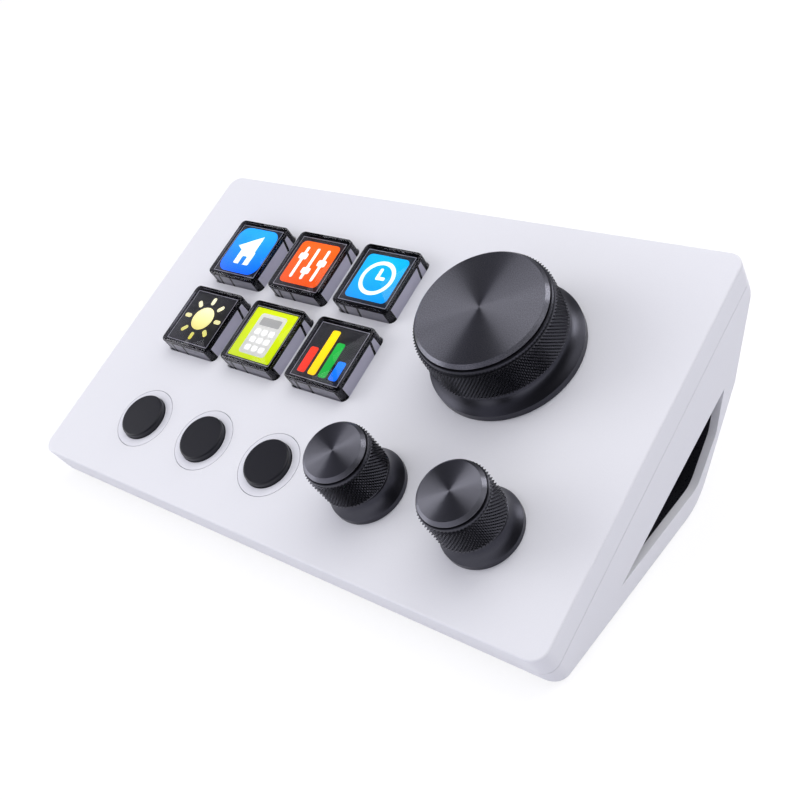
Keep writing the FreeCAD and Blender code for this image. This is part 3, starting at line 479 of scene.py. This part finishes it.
def make_grip(name, radius, collar, disc_radius, columns, hollow):
    """A turned grip: hub, knurled wall, and a smooth collar round the disc's neck."""
    low = GRIP_BOTTOM if hollow else GRIP_BOTTOM + STEP_HEIGHT
    rows = [low + (KNURL_TOP - low) * row / KNURL_ROWS for row in range(KNURL_ROWS + 1)]
    neck = disc_radius - DISC_NECK + NECK_GAP
    points = [(SHAFT_HOLE, GRIP_BOTTOM), (HUB_RADIUS, GRIP_BOTTOM)]
    if hollow:
        roof, inside = DISC_SEAT - GRIP_WALL, radius - GRIP_WALL
        points += [(HUB_RADIUS, roof), (inside, roof), (inside, GRIP_BOTTOM)]
    points += [(radius - KNURL_DEPTH, GRIP_BOTTOM)]
    if not hollow:
        step = radius - STEP_DEPTH
        points += [(step, GRIP_BOTTOM + 0.05), (step, low - 0.03)]
    points += [(radius, height) for height in rows]
    points += [(collar, KNURL_TOP + 0.06), (collar, GROOVE_FLOOR - CHAMFER)]
    points += [(collar - CHAMFER, GROOVE_FLOOR), (neck, GROOVE_FLOOR)]
    points += [(neck, DISC_SEAT), (SHAFT_HOLE, DISC_SEAT)]
    mesh = spin_outline(points, columns)
    soften_corners(mesh)
    sink_every_second(mesh, radius, low, columns)
    sharpen_knurl(mesh, radius, low)
    finish_piece(
        f"{name}_knurled_grip", mesh, standing_on_panel(f"{name}_grip"), name,
        f"{name}_grip", [grip_finish],
    )


make_grip("dial", 13.65, 13.1, DIAL_DISC, columns=240, hollow=True)
for knob in SMALL_KNOBS:
    make_grip(knob, 6.75, 6.35, SMALL_DISC, columns=120, hollow=False)

# %% [markdown]
# ## The spun discs
# The top of each knob is turned on a lathe, which leaves fine circles round its
# middle. These stretch every highlight into a fan that runs through the centre.
# Modelled circles would need a mesh far too fine for that. So the shader does it,
# with anisotropy along a map that runs round the disc, and a noise stretched on the
# same map draws the single marks.
# %% Spun metal
DISC_MAP = "round"
disc_finish = new_finish(
    "knob_disc_black", (0.17, 0.17, 0.2), Metallic=1.0, Roughness=0.376, Anisotropic=0.978,
    Anisotropic_Rotation=0.25,
)
turned_map = add_node(disc_finish, "ShaderNodeUVMap", uv_map=DISC_MAP)
tangent = add_node(disc_finish, "ShaderNodeTangent", direction_type="UV_MAP", uv_map=DISC_MAP)
stretch = add_node(disc_finish, "ShaderNodeMapping")
stretch.inputs["Scale"].default_value = (230.0, 90.0, 1.0)
lathe_marks = add_node(disc_finish, "ShaderNodeTexNoise", Scale=1.0, Detail=2.0)
mark_bump = add_node(disc_finish, "ShaderNodeBump", Strength=0.3, Distance=0.003 * MM)
mark_tones = add_node(disc_finish, "ShaderNodeValToRGB")
dark_mark, pale_mark = mark_tones.color_ramp.elements
dark_mark.position, dark_mark.color = 0.3, (0.15, 0.15, 0.178, 1)
pale_mark.position, pale_mark.color = 0.7, (0.25, 0.25, 0.292, 1)
join_sockets(
    disc_finish,
    (turned_map.outputs["UV"], stretch.inputs["Vector"]),
    (stretch.outputs["Vector"], lathe_marks.inputs["Vector"]),
    (lathe_marks.outputs["Fac"], mark_bump.inputs["Height"]),
    (lathe_marks.outputs["Fac"], mark_tones.inputs["Fac"]),
    (mark_tones.outputs["Color"], shader_of(disc_finish).inputs["Base Color"]),
    (mark_bump.outputs["Normal"], shader_of(disc_finish).inputs["Normal"]),
    (tangent.outputs["Tangent"], shader_of(disc_finish).inputs["Tangent"]),
)
print("spun metal", disc_finish.name)

# %% [markdown]
# Blender's own unwrapping would lay the disc out flat, but this map has to go round
# it: each corner of a face gets its angle as U and its radius as V. At one place
# the angle jumps by a full turn, so each face keeps to the side that its own middle
# is on, and no face is smeared across the jump.
# %% A map that runs round the disc


def map_round(mesh, reach):
    """Give every face corner its angle as U and its radius as V."""
    layer = mesh.loops.layers.uv.new(DISC_MAP)
    for face in mesh.faces:
        middle = face.calc_center_median()
        face_turn = math.atan2(middle.y, middle.x)
        for loop in face.loops:
            radius = math.hypot(loop.vert.co.x, loop.vert.co.y)
            turn = math.atan2(loop.vert.co.y, loop.vert.co.x) if radius > NEAR else face_turn
            if turn - face_turn > math.pi:
                turn -= math.tau
            if turn - face_turn < -math.pi:
                turn += math.tau
            loop[layer].uv = (turn / math.tau + 0.5, radius / reach)


print("U runs once round a disc, V from its middle to its edge")

# %% [markdown]
# A disc closes each knob with a flat face, and its wide bevel catches a line of
# light. Under a short wall, a narrower neck goes down through the grip's collar to
# its seat, which leaves a fine groove between the two. A bevel could be made after
# the spin, but it costs nothing when it is part of the outline.
# %% Discs with a bevelled edge
DISC_TOP, DISC_UNDER = 14.0, 13.3
DISC_BEVEL = 0.62


def make_disc(name, radius):
    """A turned disc: flat face, wide bevel, a short wall, and a neck down to its seat."""
    points = [(reach, DISC_TOP) for reach in (0, 0.4, radius * 0.3, radius * 0.65)]
    points += [(radius - DISC_BEVEL, DISC_TOP), (radius, DISC_UNDER + 0.08)]
    points += [(radius, DISC_UNDER), (radius - DISC_NECK, DISC_UNDER)]
    points += [(radius - DISC_NECK, DISC_SEAT), (0, DISC_SEAT)]
    mesh = spin_outline(points, ROUND_STEPS, closed=False)
    bmesh.ops.recalc_face_normals(mesh, faces=mesh.faces)
    map_round(mesh, radius)
    soften_corners(mesh)
    finish_piece(
        f"{name}_spun_disc", mesh, standing_on_panel(f"{name}_disc"), name,
        f"{name}_disc", [disc_finish],
    )


make_disc("dial", DIAL_DISC)
for knob in SMALL_KNOBS:
    make_disc(knob, SMALL_DISC)

# %% [markdown]
# ## The clear keys
# A key is a clear acrylic cap over a dark tray. One solid block with a glass shader
# would bend the light like a lens. The real cap is hollow, so it is a block with
# rounded corners and a fine bevel, and a smaller block inside it is the hollow. The
# hollow's upper edges get a small bevel too, because that is the bright line inside
# a real cap. These helpers make a block and pick the edges to bevel.
# %% Blocks and bevels


def block(mesh, width, depth, low, top):
    """A box on the panel's axes, round the key's middle."""
    made = bmesh.ops.create_cube(mesh, size=1.0)["verts"]
    bmesh.ops.scale(mesh, vec=(width, depth, top - low), verts=made)
    bmesh.ops.translate(mesh, vec=(0, 0, (low + top) / 2), verts=made)
    return made


def edges_where(mesh, verts, test):
    """The edges at these corners that pass a test, in the mesh's own order."""
    corners = set(verts)
    return [edge for edge in mesh.edges if test(edge) and corners.issuperset(edge.verts)]


def is_upright(edge):
    """Does the edge stand square to the panel?"""
    first, second = edge.verts
    return abs(first.co.x - second.co.x) < NEAR and abs(first.co.y - second.co.y) < NEAR


def lies_at(height):
    """A test for edges and faces: do all the corners lie at this height?"""
    return lambda part: all(abs(vert.co.z - height) < NEAR for vert in part.verts)


def bevel_round(mesh, edges, width, segments):
    """Round these edges off."""
    bmesh.ops.bevel(
        mesh, geom=edges, offset=width, offset_type="OFFSET", segments=segments,
        profile=0.5, affect="EDGES", material=-1,
    )


print("heights count as the same within", NEAR, "mm")

# %% [markdown]
# With the bevels done, both blocks lose their lower face. A boolean could take the
# hollow out, but a ring of faces that bridges the two rims is cleaner, and leaves
# the closed wall that a glass shader needs.
# %% Clear caps
KEY_WIDTH, KEY_DEPTH = 15.0, 15.3
KEY_LOW, KEY_TOP = -1.9, 3.4
KEY_WALL, KEY_WINDOW = 0.45, 0.6
CAP_CORNER, CAP_EDGE = 1.2, 0.22
HOLLOW_CORNER, HOLLOW_EDGE = 0.75, 0.12
KEYS = range(1, 7)


def make_clear_cap(number):
    """A hollow clear block, open at its lower side."""
    mesh = bmesh.new()
    outer = block(mesh, KEY_WIDTH, KEY_DEPTH, KEY_LOW, KEY_TOP)
    bevel_round(mesh, edges_where(mesh, outer, is_upright), CAP_CORNER, 6)
    bevel_round(mesh, edges_where(mesh, mesh.verts, lies_at(KEY_TOP)), CAP_EDGE, 2)
    ceiling = KEY_TOP - KEY_WINDOW
    inner = block(mesh, KEY_WIDTH - 2 * KEY_WALL, KEY_DEPTH - 2 * KEY_WALL, KEY_LOW, ceiling)
    bevel_round(mesh, edges_where(mesh, inner, is_upright), HOLLOW_CORNER, 4)
    bevel_round(mesh, edges_where(mesh, mesh.verts, lies_at(ceiling)), HOLLOW_EDGE, 2)
    lids = list(filter(lies_at(KEY_LOW), mesh.faces))
    bmesh.ops.delete(mesh, geom=lids, context="FACES_ONLY")
    bmesh.ops.bridge_loops(mesh, edges=[edge for edge in mesh.edges if edge.is_boundary])
    soften_corners(mesh, 25)
    node = f"key_cap_{number}"
    finish_piece(
        f"key_clear_cap_{number}", mesh, standing_on_panel(node), f"key_{number}",
        node, [FINISHES["clear_cap"]],
    )


for key in KEYS:
    make_clear_cap(key)

# %% [markdown]
# ## The trays
# The tray inside the cap is black, with a pale pane in each side that shows through
# the clear wall. Little lamp light gets through the clear cap to the panes, and a lamp
# in every key would cost much noise. So the panes glow faintly in their own colour,
# which is painted light. The panes at the front and the back are a darker copy with a
# weaker glow, which is painted shade.
# %% Tray colours
tray_black = add_grain(
    new_finish("tray_black", (0.006, 0.006, 0.008), Roughness=0.8, Specular_IOR_Level=0.0),
    0.5, 0.0, dull=(0.75, 0.85), tones=((0.0055, 0.0055, 0.0075), (0.0065, 0.0065, 0.009)),
)
# Painted light: the pale side panes and the rim's fine line glow faintly in their own colour.
tray_painted_glow = add_grain(
    new_finish(
        "tray_painted_glow", (0.62, 0.61, 0.72), Roughness=0.3,
        Emission_Color=(0.62, 0.61, 0.76, 1), Emission_Strength=0.22,
    ),
    0.2, 0.002, dull=(0.25, 0.35),
)
# Painted shade: a darker copy of the pale grey, with a weaker glow, for the front and back panes.
tray_painted_shade = add_grain(
    new_finish(
        "tray_painted_shade", (0.4, 0.39, 0.46), Roughness=0.3,
        Emission_Color=(0.5, 0.49, 0.6, 1), Emission_Strength=0.1,
    ),
    0.2, 0.002, dull=(0.25, 0.35),
)
print("tray colours", tray_black.name, tray_painted_glow.name, tray_painted_shade.name)

# %% [markdown]
# Slim black ribs slant across the panes: two at the front, two at the back and one
# on each side. Dark stripes in the panes' colour would look flat through the clear
# wall, so each rib is a real bar, made at the front and then turned to its side.
# %% Ribs round a tray
TRAY_WIDTH, TRAY_DEPTH = 13.9, 14.2
RIB_WIDTH, RIB_DEPTH, RIB_HALF, RIB_SLANT = 0.6, 0.2, 2.1, 14
RIB_SINK, RIB_MIDDLE = 0.04, 0.5


def turn_verts(mesh, verts, degrees, axis="Z"):
    """Turn part of a mesh round one of the panel's axes."""
    turned = Matrix.Rotation(math.radians(degrees), 3, axis)
    bmesh.ops.rotate(mesh, cent=(0, 0, 0), matrix=turned, verts=verts)


def add_rib(mesh, x, reach, side):
    """A slanting rib on the side at this turn, this far from the middle."""
    rib = block(mesh, RIB_WIDTH, RIB_DEPTH, -RIB_HALF, RIB_HALF)
    turn_verts(mesh, rib, RIB_SLANT, "Y")
    bmesh.ops.translate(mesh, vec=(x, RIB_SINK - reach, RIB_MIDDLE), verts=rib)
    turn_verts(mesh, rib, side)


def add_ribs(mesh):
    """The ribs of all four sides."""
    for side in (0, 180):
        add_rib(mesh, -4.9, TRAY_DEPTH / 2, side)
        add_rib(mesh, -1.3, TRAY_DEPTH / 2, side)
        add_rib(mesh, 4.3, TRAY_WIDTH / 2, side + 90)


print("a rib slants by", RIB_SLANT, "degrees")

# %% [markdown]
# The panes are side faces, inset by the width of their frame. The hollow could be
# cut out. But with two insets of the top, and the rest pushed down, the rim comes
# with it: black, with a fine pale line that glows, a painted highlight. The tray
# stands on a flange that reaches past the cap, with a round stem under it.
# %% Trays
TRAY_TOP, TRAY_FLOOR = 2.74, 0.5
TRAY_RIM, TRAY_LINE, TRAY_CORNER = 0.62, 0.14, 0.65
PANE_FRAME, PANE_AREA = 0.5, 20
FLANGE_REACH, FLANGE_THICKNESS = 1.2, 0.8
STEM_RADIUS, STEM_LENGTH = 2.0, 1.3


def make_tray(number):
    """A black tray with pale panes and ribs, on its flange and stem."""
    mesh = bmesh.new()
    made = block(mesh, TRAY_WIDTH, TRAY_DEPTH, KEY_LOW, TRAY_TOP)
    bevel_round(mesh, edges_where(mesh, made, is_upright), TRAY_CORNER, 4)
    sides = [face for face in mesh.faces if abs(face.normal.z) < 0.5]
    panes = [face for face in sides if face.calc_area() > PANE_AREA]
    bmesh.ops.inset_individual(mesh, faces=panes, thickness=PANE_FRAME, depth=0)
    rim = max(mesh.faces, key=lambda face: face.calc_center_median().z)
    bmesh.ops.inset_region(mesh, faces=[rim], thickness=TRAY_RIM, depth=0)
    line = bmesh.ops.inset_region(mesh, faces=[rim], thickness=TRAY_LINE, depth=0)["faces"]
    sunk = bmesh.ops.extrude_discrete_faces(mesh, faces=[rim])["faces"][0]
    bmesh.ops.translate(mesh, vec=(0, 0, TRAY_FLOOR - TRAY_TOP), verts=sunk.verts)
    # Side panes and the rim's fine line glow (painted light); front and back panes take the darker copy (painted
    # shade).
    for face in panes + line:
        face.material_index = 2 if abs(face.normal.y) > 0.5 else 1
    add_ribs(mesh)
    flange_low = KEY_LOW - FLANGE_THICKNESS
    block(mesh, KEY_WIDTH + FLANGE_REACH, KEY_DEPTH + FLANGE_REACH, flange_low, KEY_LOW - 0.02)
    bmesh.ops.create_cone(
        mesh, cap_ends=True, segments=32, radius1=STEM_RADIUS, radius2=STEM_RADIUS,
        depth=STEM_LENGTH, matrix=Matrix.Translation((0, 0, flange_low - STEM_LENGTH / 2)),
    )
    finish_piece(
        f"key_tray_{number}", mesh, standing_on_panel(f"key_film_{number}"), f"key_{number}",
        f"key_base_{number}", [tray_black, tray_painted_glow, tray_painted_shade],
    )


for key in KEYS:
    make_tray(key)

# %% [markdown]
# ## The lit pictures
# Under each clear key lies a small lit screen. An image could be laid on it. Here
# the picture is built as thin flat shapes, one layer just above the other, whose
# edges stay sharp however close the camera is. Each colour glows by itself, so that
# it reads the same in any light, and fades from one tone at the picture's lower
# edge to another at its upper edge, with a little noise in it.
# %% A glowing colour
PICTURE_MAP = "picture"
GLOW, NOISE_SHARE = 0.9, 0.06


def glow(name, low_tone, high_tone):
    """A lit colour that fades from one tone to the other up the picture."""
    material = new_finish(
        name, low_tone, Roughness=0.4, Emission_Color=(*low_tone, 1), Emission_Strength=GLOW
    )
    shader = shader_of(material)
    place = add_node(material, "ShaderNodeUVMap", uv_map=PICTURE_MAP)
    split = add_node(material, "ShaderNodeSeparateXYZ")
    grain = add_node(material, "ShaderNodeTexNoise", Scale=180.0, Detail=1.0)
    tint = add_node(material, "ShaderNodeMath", operation="MULTIPLY_ADD")
    tint.inputs[1].default_value = NOISE_SHARE
    ramp = add_node(material, "ShaderNodeValToRGB")
    ramp.color_ramp.elements[0].color = (*low_tone, 1)
    ramp.color_ramp.elements[1].color = (*high_tone, 1)
    join_sockets(
        material,
        (place.outputs["UV"], split.inputs["Vector"]),
        (place.outputs["UV"], grain.inputs["Vector"]),
        (grain.outputs["Fac"], tint.inputs[0]),
        (split.outputs["Y"], tint.inputs[2]),
        (tint.outputs["Value"], ramp.inputs["Fac"]),
        (ramp.outputs["Color"], shader.inputs["Base Color"]),
        (ramp.outputs["Color"], shader.inputs["Emission Color"]),
    )
    return material


print("a glowing colour fades along the map", PICTURE_MAP)

# %% [markdown]
# Each colour has a name that the drawings call it by, and its place in this list
# is its place among the materials of every picture.
# %% Glowing colours
TINTS = {
    "blue": glow("picture_blue", (0.0, 0.13, 0.85), (0.02, 0.42, 0.95)),
    "orange": glow("picture_orange", (0.72, 0.085, 0.005), (0.9, 0.15, 0.01)),
    "cyan": glow("picture_cyan", (0.0, 0.3, 0.75), (0.0, 0.48, 0.85)),
    "cream": glow("picture_cream", (0.62, 0.55, 0.02), (0.95, 0.93, 0.75)),
    "lime": glow("picture_lime", (0.5, 0.62, 0.0), (0.62, 0.72, 0.0)),
    "white": glow("picture_white", (0.85, 0.86, 0.88), (0.95, 0.95, 0.96)),
    "pale_grey": glow("picture_pale_grey", (0.5, 0.5, 0.5), (0.62, 0.62, 0.62)),
    "mid_grey": glow("picture_mid_grey", (0.3, 0.3, 0.31), (0.36, 0.36, 0.37)),
    "red": glow("picture_red", (0.75, 0.03, 0.01), (0.85, 0.06, 0.02)),
    "yellow": glow("picture_yellow", (0.9, 0.6, 0.0), (0.95, 0.75, 0.0)),
    "green": glow("picture_green", (0.0, 0.35, 0.04), (0.02, 0.5, 0.08)),
    "dark": glow("picture_dark", (0.013, 0.013, 0.017), (0.017, 0.017, 0.022)),
}
TINT_NAMES = list(TINTS)
print(len(TINTS), "glowing colours")

# %% [markdown]
# Two shapes are enough for all the pictures: a rounded tile, and a filled circle
# that is a roof when it has three corners. Each is turned, moved to its place,
# lifted to its layer and painted. The steps between the layers are too thin to be
# seen, but without them two colours at one height would flicker.
# %% Flat shapes for the pictures
LAYER_STEP = 0.02


def put_shape(mesh, verts, x, y, tint, layer, turn):
    """Turn a flat shape, move it to its place and layer, and give it a colour."""
    turn_verts(mesh, verts, turn)
    bmesh.ops.translate(mesh, vec=(x, y, layer * LAYER_STEP), verts=verts)
    for face in {face for vert in verts for face in vert.link_faces}:
        face.material_index = TINT_NAMES.index(tint)


def tile(mesh, width, depth, corner, x, y, tint, layer, turn=0.0):
    """A rectangle with rounded corners."""
    made = bmesh.ops.create_grid(mesh, x_segments=1, y_segments=1, size=0.5)["verts"]
    span = max(vert.co.x for vert in made) - min(vert.co.x for vert in made)
    bmesh.ops.scale(mesh, vec=(width / span, depth / span, 1), verts=made)
    if corner:
        made = bmesh.ops.bevel(
            mesh, geom=made, offset=corner, offset_type="OFFSET", segments=6,
            profile=0.5, affect="VERTICES", material=-1,
        )["verts"]
    put_shape(mesh, made, x, y, tint, layer, turn)


def spot(mesh, radius, x, y, tint, layer, corners=40, turn=0.0):
    """A filled circle, or a shape with few corners."""
    made = bmesh.ops.create_circle(mesh, cap_ends=True, radius=radius, segments=corners)
    put_shape(mesh, made["verts"], x, y, tint, layer, turn)


print("a layer is", LAYER_STEP, "mm above the one below")

# %% [markdown]
# ## Six plain pictures
# The pictures are plain signs that any such keypad could carry: a house, three
# sliders, a clock, a sun, a calculator and a level meter. Each drawing is a short
# list of shapes, so that a new one is quickly made. All places are millimetres from
# the key's middle.
# %% A house, sliders and a clock


def draw_house(mesh):
    """A white house on a blue ground."""
    tile(mesh, 12.0, 12.0, 2.6, 0, 0, "blue", 0)
    spot(mesh, 3.9, 0, 0.9, "white", 1, corners=3, turn=90)
    tile(mesh, 4.6, 3.6, 0.3, 0, -1.9, "white", 1)
    tile(mesh, 1.4, 2.2, 0.2, 0, -2.6, "blue", 2)


def draw_sliders(mesh):
    """Three sliders on an orange ground."""
    tile(mesh, 11.0, 11.0, 1.2, 0, 0, "orange", 0)
    for x, y in ((-3, 1.6), (0, -1.8), (3, 0.6)):
        tile(mesh, 0.8, 8.2, 0.35, x, 0, "white", 1)
        tile(mesh, 2.3, 1.6, 0.4, x, y, "white", 2)


def draw_clock(mesh):
    """A clock face with two hands on a cyan ground."""
    tile(mesh, 11.0, 11.0, 1.2, 0, 0, "cyan", 0)
    spot(mesh, 4.2, 0, 0, "white", 1)
    spot(mesh, 3.3, 0, 0, "cyan", 2)
    tile(mesh, 0.8, 2.8, 0.3, 0, 1.0, "white", 3)
    tile(mesh, 2.2, 0.8, 0.3, 0.8, 0, "white", 3)


drawings = [draw_house, draw_sliders, draw_clock]
print("drawings for the upper row", len(drawings))

# %% [markdown]
# The sun and the bars stand on the dark screen itself, and only the calculator has
# a coloured ground. The rays, the calculator's keys and the bars could be listed
# one by one, but a loop over their places says better what they have in common.
# %% A sun, a calculator and a level meter


def draw_sun(mesh):
    """A sun with eight rays."""
    spot(mesh, 2.9, 0, 0, "cream", 0)
    for turn in range(0, 360, 45):
        x = 4.6 * math.cos(math.radians(turn))
        y = 4.6 * math.sin(math.radians(turn))
        tile(mesh, 1.9, 1.0, 0.45, x, y, "cream", 0, turn=turn)


def draw_calculator(mesh):
    """A calculator on a lime ground."""
    tile(mesh, 12.0, 12.2, 0.3, 0, 0, "lime", 0)
    tile(mesh, 7.6, 10.0, 0.8, 0, 0, "pale_grey", 1)
    tile(mesh, 5.8, 2.0, 0.3, 0, 3.1, "mid_grey", 2)
    for x in (-2.0, 0, 2.0):
        for y in (-3.4, -1.4, 0.6):
            tile(mesh, 1.4, 1.3, 0.3, x, y, "white", 2)


def draw_meter(mesh):
    """Four bars of a level meter."""
    bars = ((-4.2, "red", 6.0), (-1.4, "yellow", 10.6), (1.4, "green", 8.2), (4.2, "blue", 4.4))
    for x, tint, height in bars:
        tile(mesh, 2.1, height, 0.5, x, height / 2 - 5.4, tint, 0)


drawings += [draw_sun, draw_calculator, draw_meter]
print("drawings in all", len(drawings))

# %% [markdown]
# Each picture lies on a dark screen that fills the tray's floor. Its faces are all
# turned to point out of the panel, because a flat shape has no outside of its own.
# Every shape could have its own map, but with one map over the whole picture the
# colours fade together.
# %% Put the pictures under the keys
PICTURE_SPAN = 12
SCREEN_WIDTH, SCREEN_DEPTH = 12.36, 12.66


def map_flat(mesh):
    """Turn every face up, and map the picture's span to one unit."""
    layer = mesh.loops.layers.uv.new(PICTURE_MAP)
    for face in mesh.faces:
        if face.normal.z < 0:
            face.normal_flip()
        for loop in face.loops:
            x, y, _ = loop.vert.co / PICTURE_SPAN
            loop[layer].uv = (x + 0.5, y + 0.5)


def make_picture(number, draw):
    """A dark screen with a drawing on it, at the film's own height."""
    mesh = bmesh.new()
    tile(mesh, SCREEN_WIDTH, SCREEN_DEPTH, 0, 0, 0, "dark", -1)
    draw(mesh)
    map_flat(mesh)
    node = f"key_film_{number}"
    finish_piece(
        f"key_picture_{number}", mesh, panel @ Matrix.Translation(centre_of(node)),
        f"key_{number}", node, TINTS.values(), outwards=False,
    )


for key, drawing in zip(KEYS, drawings):
    make_picture(key, drawing)

# %% [markdown]
# ## Studio
# The keypad stands on a plain white floor. Stronger lamps would make it white as
# well, but they would bleach the case too. So most of what the camera sees of the
# floor is an even white shine, and the rest is the lit surface, which keeps a faint
# shadow. The surface is made here, and the shine in the next cell.
# %% Floor
FLOOR_REACH = 3.0
FLOOR_SHINE, FLOOR_STRENGTH = 0.7, 1.15

floor_mesh = bmesh.new()
bmesh.ops.create_grid(floor_mesh, x_segments=1, y_segments=1, size=FLOOR_REACH)
floor_data = bpy.data.meshes.new("floor")
floor_mesh.to_mesh(floor_data)
floor_mesh.free()
floor = bpy.data.objects.new("floor", floor_data)
bpy.context.scene.collection.objects.link(floor)
floor_finish = add_grain(new_finish("floor_white", (0.76, 0.76, 0.8), Roughness=0.9), 4.0, 0.01)
floor_data.materials.append(floor_finish)
print("floor", 2 * FLOOR_REACH, "m wide")

# %% [markdown]
# White could be laid behind the finished picture, but glass and gloss wouldn't show
# it. So the shine is in the floor's own material, for the rays that the eye follows:
# straight from the camera, through a clear cap, or off a glossy surface. The soft
# light that the floor throws back at the keypad comes from its plain surface alone.
# %% The floor's white shine
sight = add_node(floor_finish, "ShaderNodeLightPath")
camera_or_gloss = add_node(floor_finish, "ShaderNodeMath", operation="MAXIMUM")
seen = add_node(floor_finish, "ShaderNodeMath", operation="MAXIMUM")
share = add_node(floor_finish, "ShaderNodeMath", operation="MULTIPLY")
share.inputs[1].default_value = FLOOR_SHINE
shine = add_node(floor_finish, "ShaderNodeEmission", Strength=FLOOR_STRENGTH)
mixed = add_node(floor_finish, "ShaderNodeMixShader")
floor_output = floor_finish.node_tree.nodes["Material Output"]
join_sockets(
    floor_finish,
    (sight.outputs["Is Camera Ray"], camera_or_gloss.inputs[0]),
    (sight.outputs["Is Glossy Ray"], camera_or_gloss.inputs[1]),
    (camera_or_gloss.outputs["Value"], seen.inputs[0]),
    (sight.outputs["Is Transmission Ray"], seen.inputs[1]),
    (seen.outputs["Value"], share.inputs[0]),
    (share.outputs["Value"], mixed.inputs["Fac"]),
    (shader_of(floor_finish).outputs["BSDF"], mixed.inputs[1]),
    (shine.outputs["Emission"], mixed.inputs[2]),
    (mixed.outputs["Shader"], floor_output.inputs["Surface"]),
)
print("share of the floor that shines", FLOOR_SHINE)

# %% [markdown]
# The surroundings could be a picture of a real studio. A dome with two tones does
# here: pale low down and to the left, and darker overhead and to the right, with a
# soft change between. The height along one slanting direction tells them apart.
# Soft light and mirrored light get a dome each.
# %% A dome with two tones
DOME_SLANT = (0.42, 0.2, 1)

world = bpy.data.worlds.new("studio")
bpy.context.scene.world = world
world.use_nodes = True
dome = world.node_tree
dome_place = dome.nodes.new("ShaderNodeTexCoord")
dome_height = dome.nodes.new("ShaderNodeVectorMath")
dome_height.operation = "DOT_PRODUCT"
dome_height.inputs[1].default_value = DOME_SLANT
dome.links.new(dome_place.outputs["Generated"], dome_height.inputs[0])


def dome_ramp(low, high, places):
    """A low and a high tone, with a soft change between two heights."""
    ramp = dome.nodes.new("ShaderNodeValToRGB")
    for element, place, tone in zip(ramp.color_ramp.elements, places, (low, high)):
        element.position = place
        element.color = (*tone, 1)
    dome.links.new(dome_height.outputs["Value"], ramp.inputs["Fac"])
    return ramp.outputs["Color"]


soft_dome = dome_ramp((0.82, 0.82, 0.93), (0.43, 0.43, 0.475), (0.3, 0.6))
gloss_dome = dome_ramp((0.5, 0.5, 0.57), (0.03, 0.03, 0.036), (0.15, 0.45))
print("the dome's tones change along", DOME_SLANT)

# %% [markdown]
# One dome for all rays would be simpler, but one that keeps the case's white clean
# makes the black metal pale. So what a ray meets depends on what sent it: the
# camera sees pure white, soft light comes from the pale dome, and glossy surfaces
# mirror the much darker one.
# %% Which dome a ray meets


def dome_choice(question, otherwise, answer):
    """One colour where the question is answered yes, and another otherwise."""
    mix = dome.nodes.new("ShaderNodeMixRGB")
    dome.links.new(question, mix.inputs["Fac"])
    dome.links.new(otherwise, mix.inputs["Color1"])
    dome.links.new(answer, mix.inputs["Color2"])
    return mix.outputs["Color"]


dome_sight = dome.nodes.new("ShaderNodeLightPath")
pure_white = dome.nodes.new("ShaderNodeRGB")
pure_white.outputs["Color"].default_value = (1, 1, 1, 1)
lit = dome_choice(dome_sight.outputs["Is Glossy Ray"], soft_dome, gloss_dome)
seen_white = dome_choice(dome_sight.outputs["Is Camera Ray"], lit, pure_white.outputs["Color"])
dome.links.new(seen_white, dome.nodes["Background"].inputs["Color"])
print("the camera sees", list(pure_white.outputs["Color"].default_value))

# %% [markdown]
# Three square soft boxes face the keypad: one over it, one at its left and a small
# one behind it at the right. One large lamp would light the case as well, but each
# lamp draws a fan of its own on the spun discs, and these three give the fans their
# right places. The Standard view then shows each colour as it is written.
# %% Lamps


def add_lamp(name, place, size, power):
    """A square soft box that faces the keypad, this wide and with this many watts."""
    data = bpy.data.lights.new(name, "AREA")
    data.size = size
    data.energy = power
    lamp = bpy.data.objects.new(name, data)
    lamp.location = place
    lamp.rotation_euler = (-Vector(place)).to_track_quat("-Z", "Y").to_euler()
    bpy.context.scene.collection.objects.link(lamp)
    print("lamp", name, "with", power, "W")


add_lamp("overhead", place=(0.107, 0.132, 0.693), size=0.81, power=2.75)
add_lamp("from_the_left", place=(-0.961, -0.543, 0.445), size=0.77, power=4.6)
add_lamp("from_behind", place=(0.42, 0.79, 0.48), size=0.38, power=2.3)
bpy.context.scene.view_settings.view_transform = "Standard"
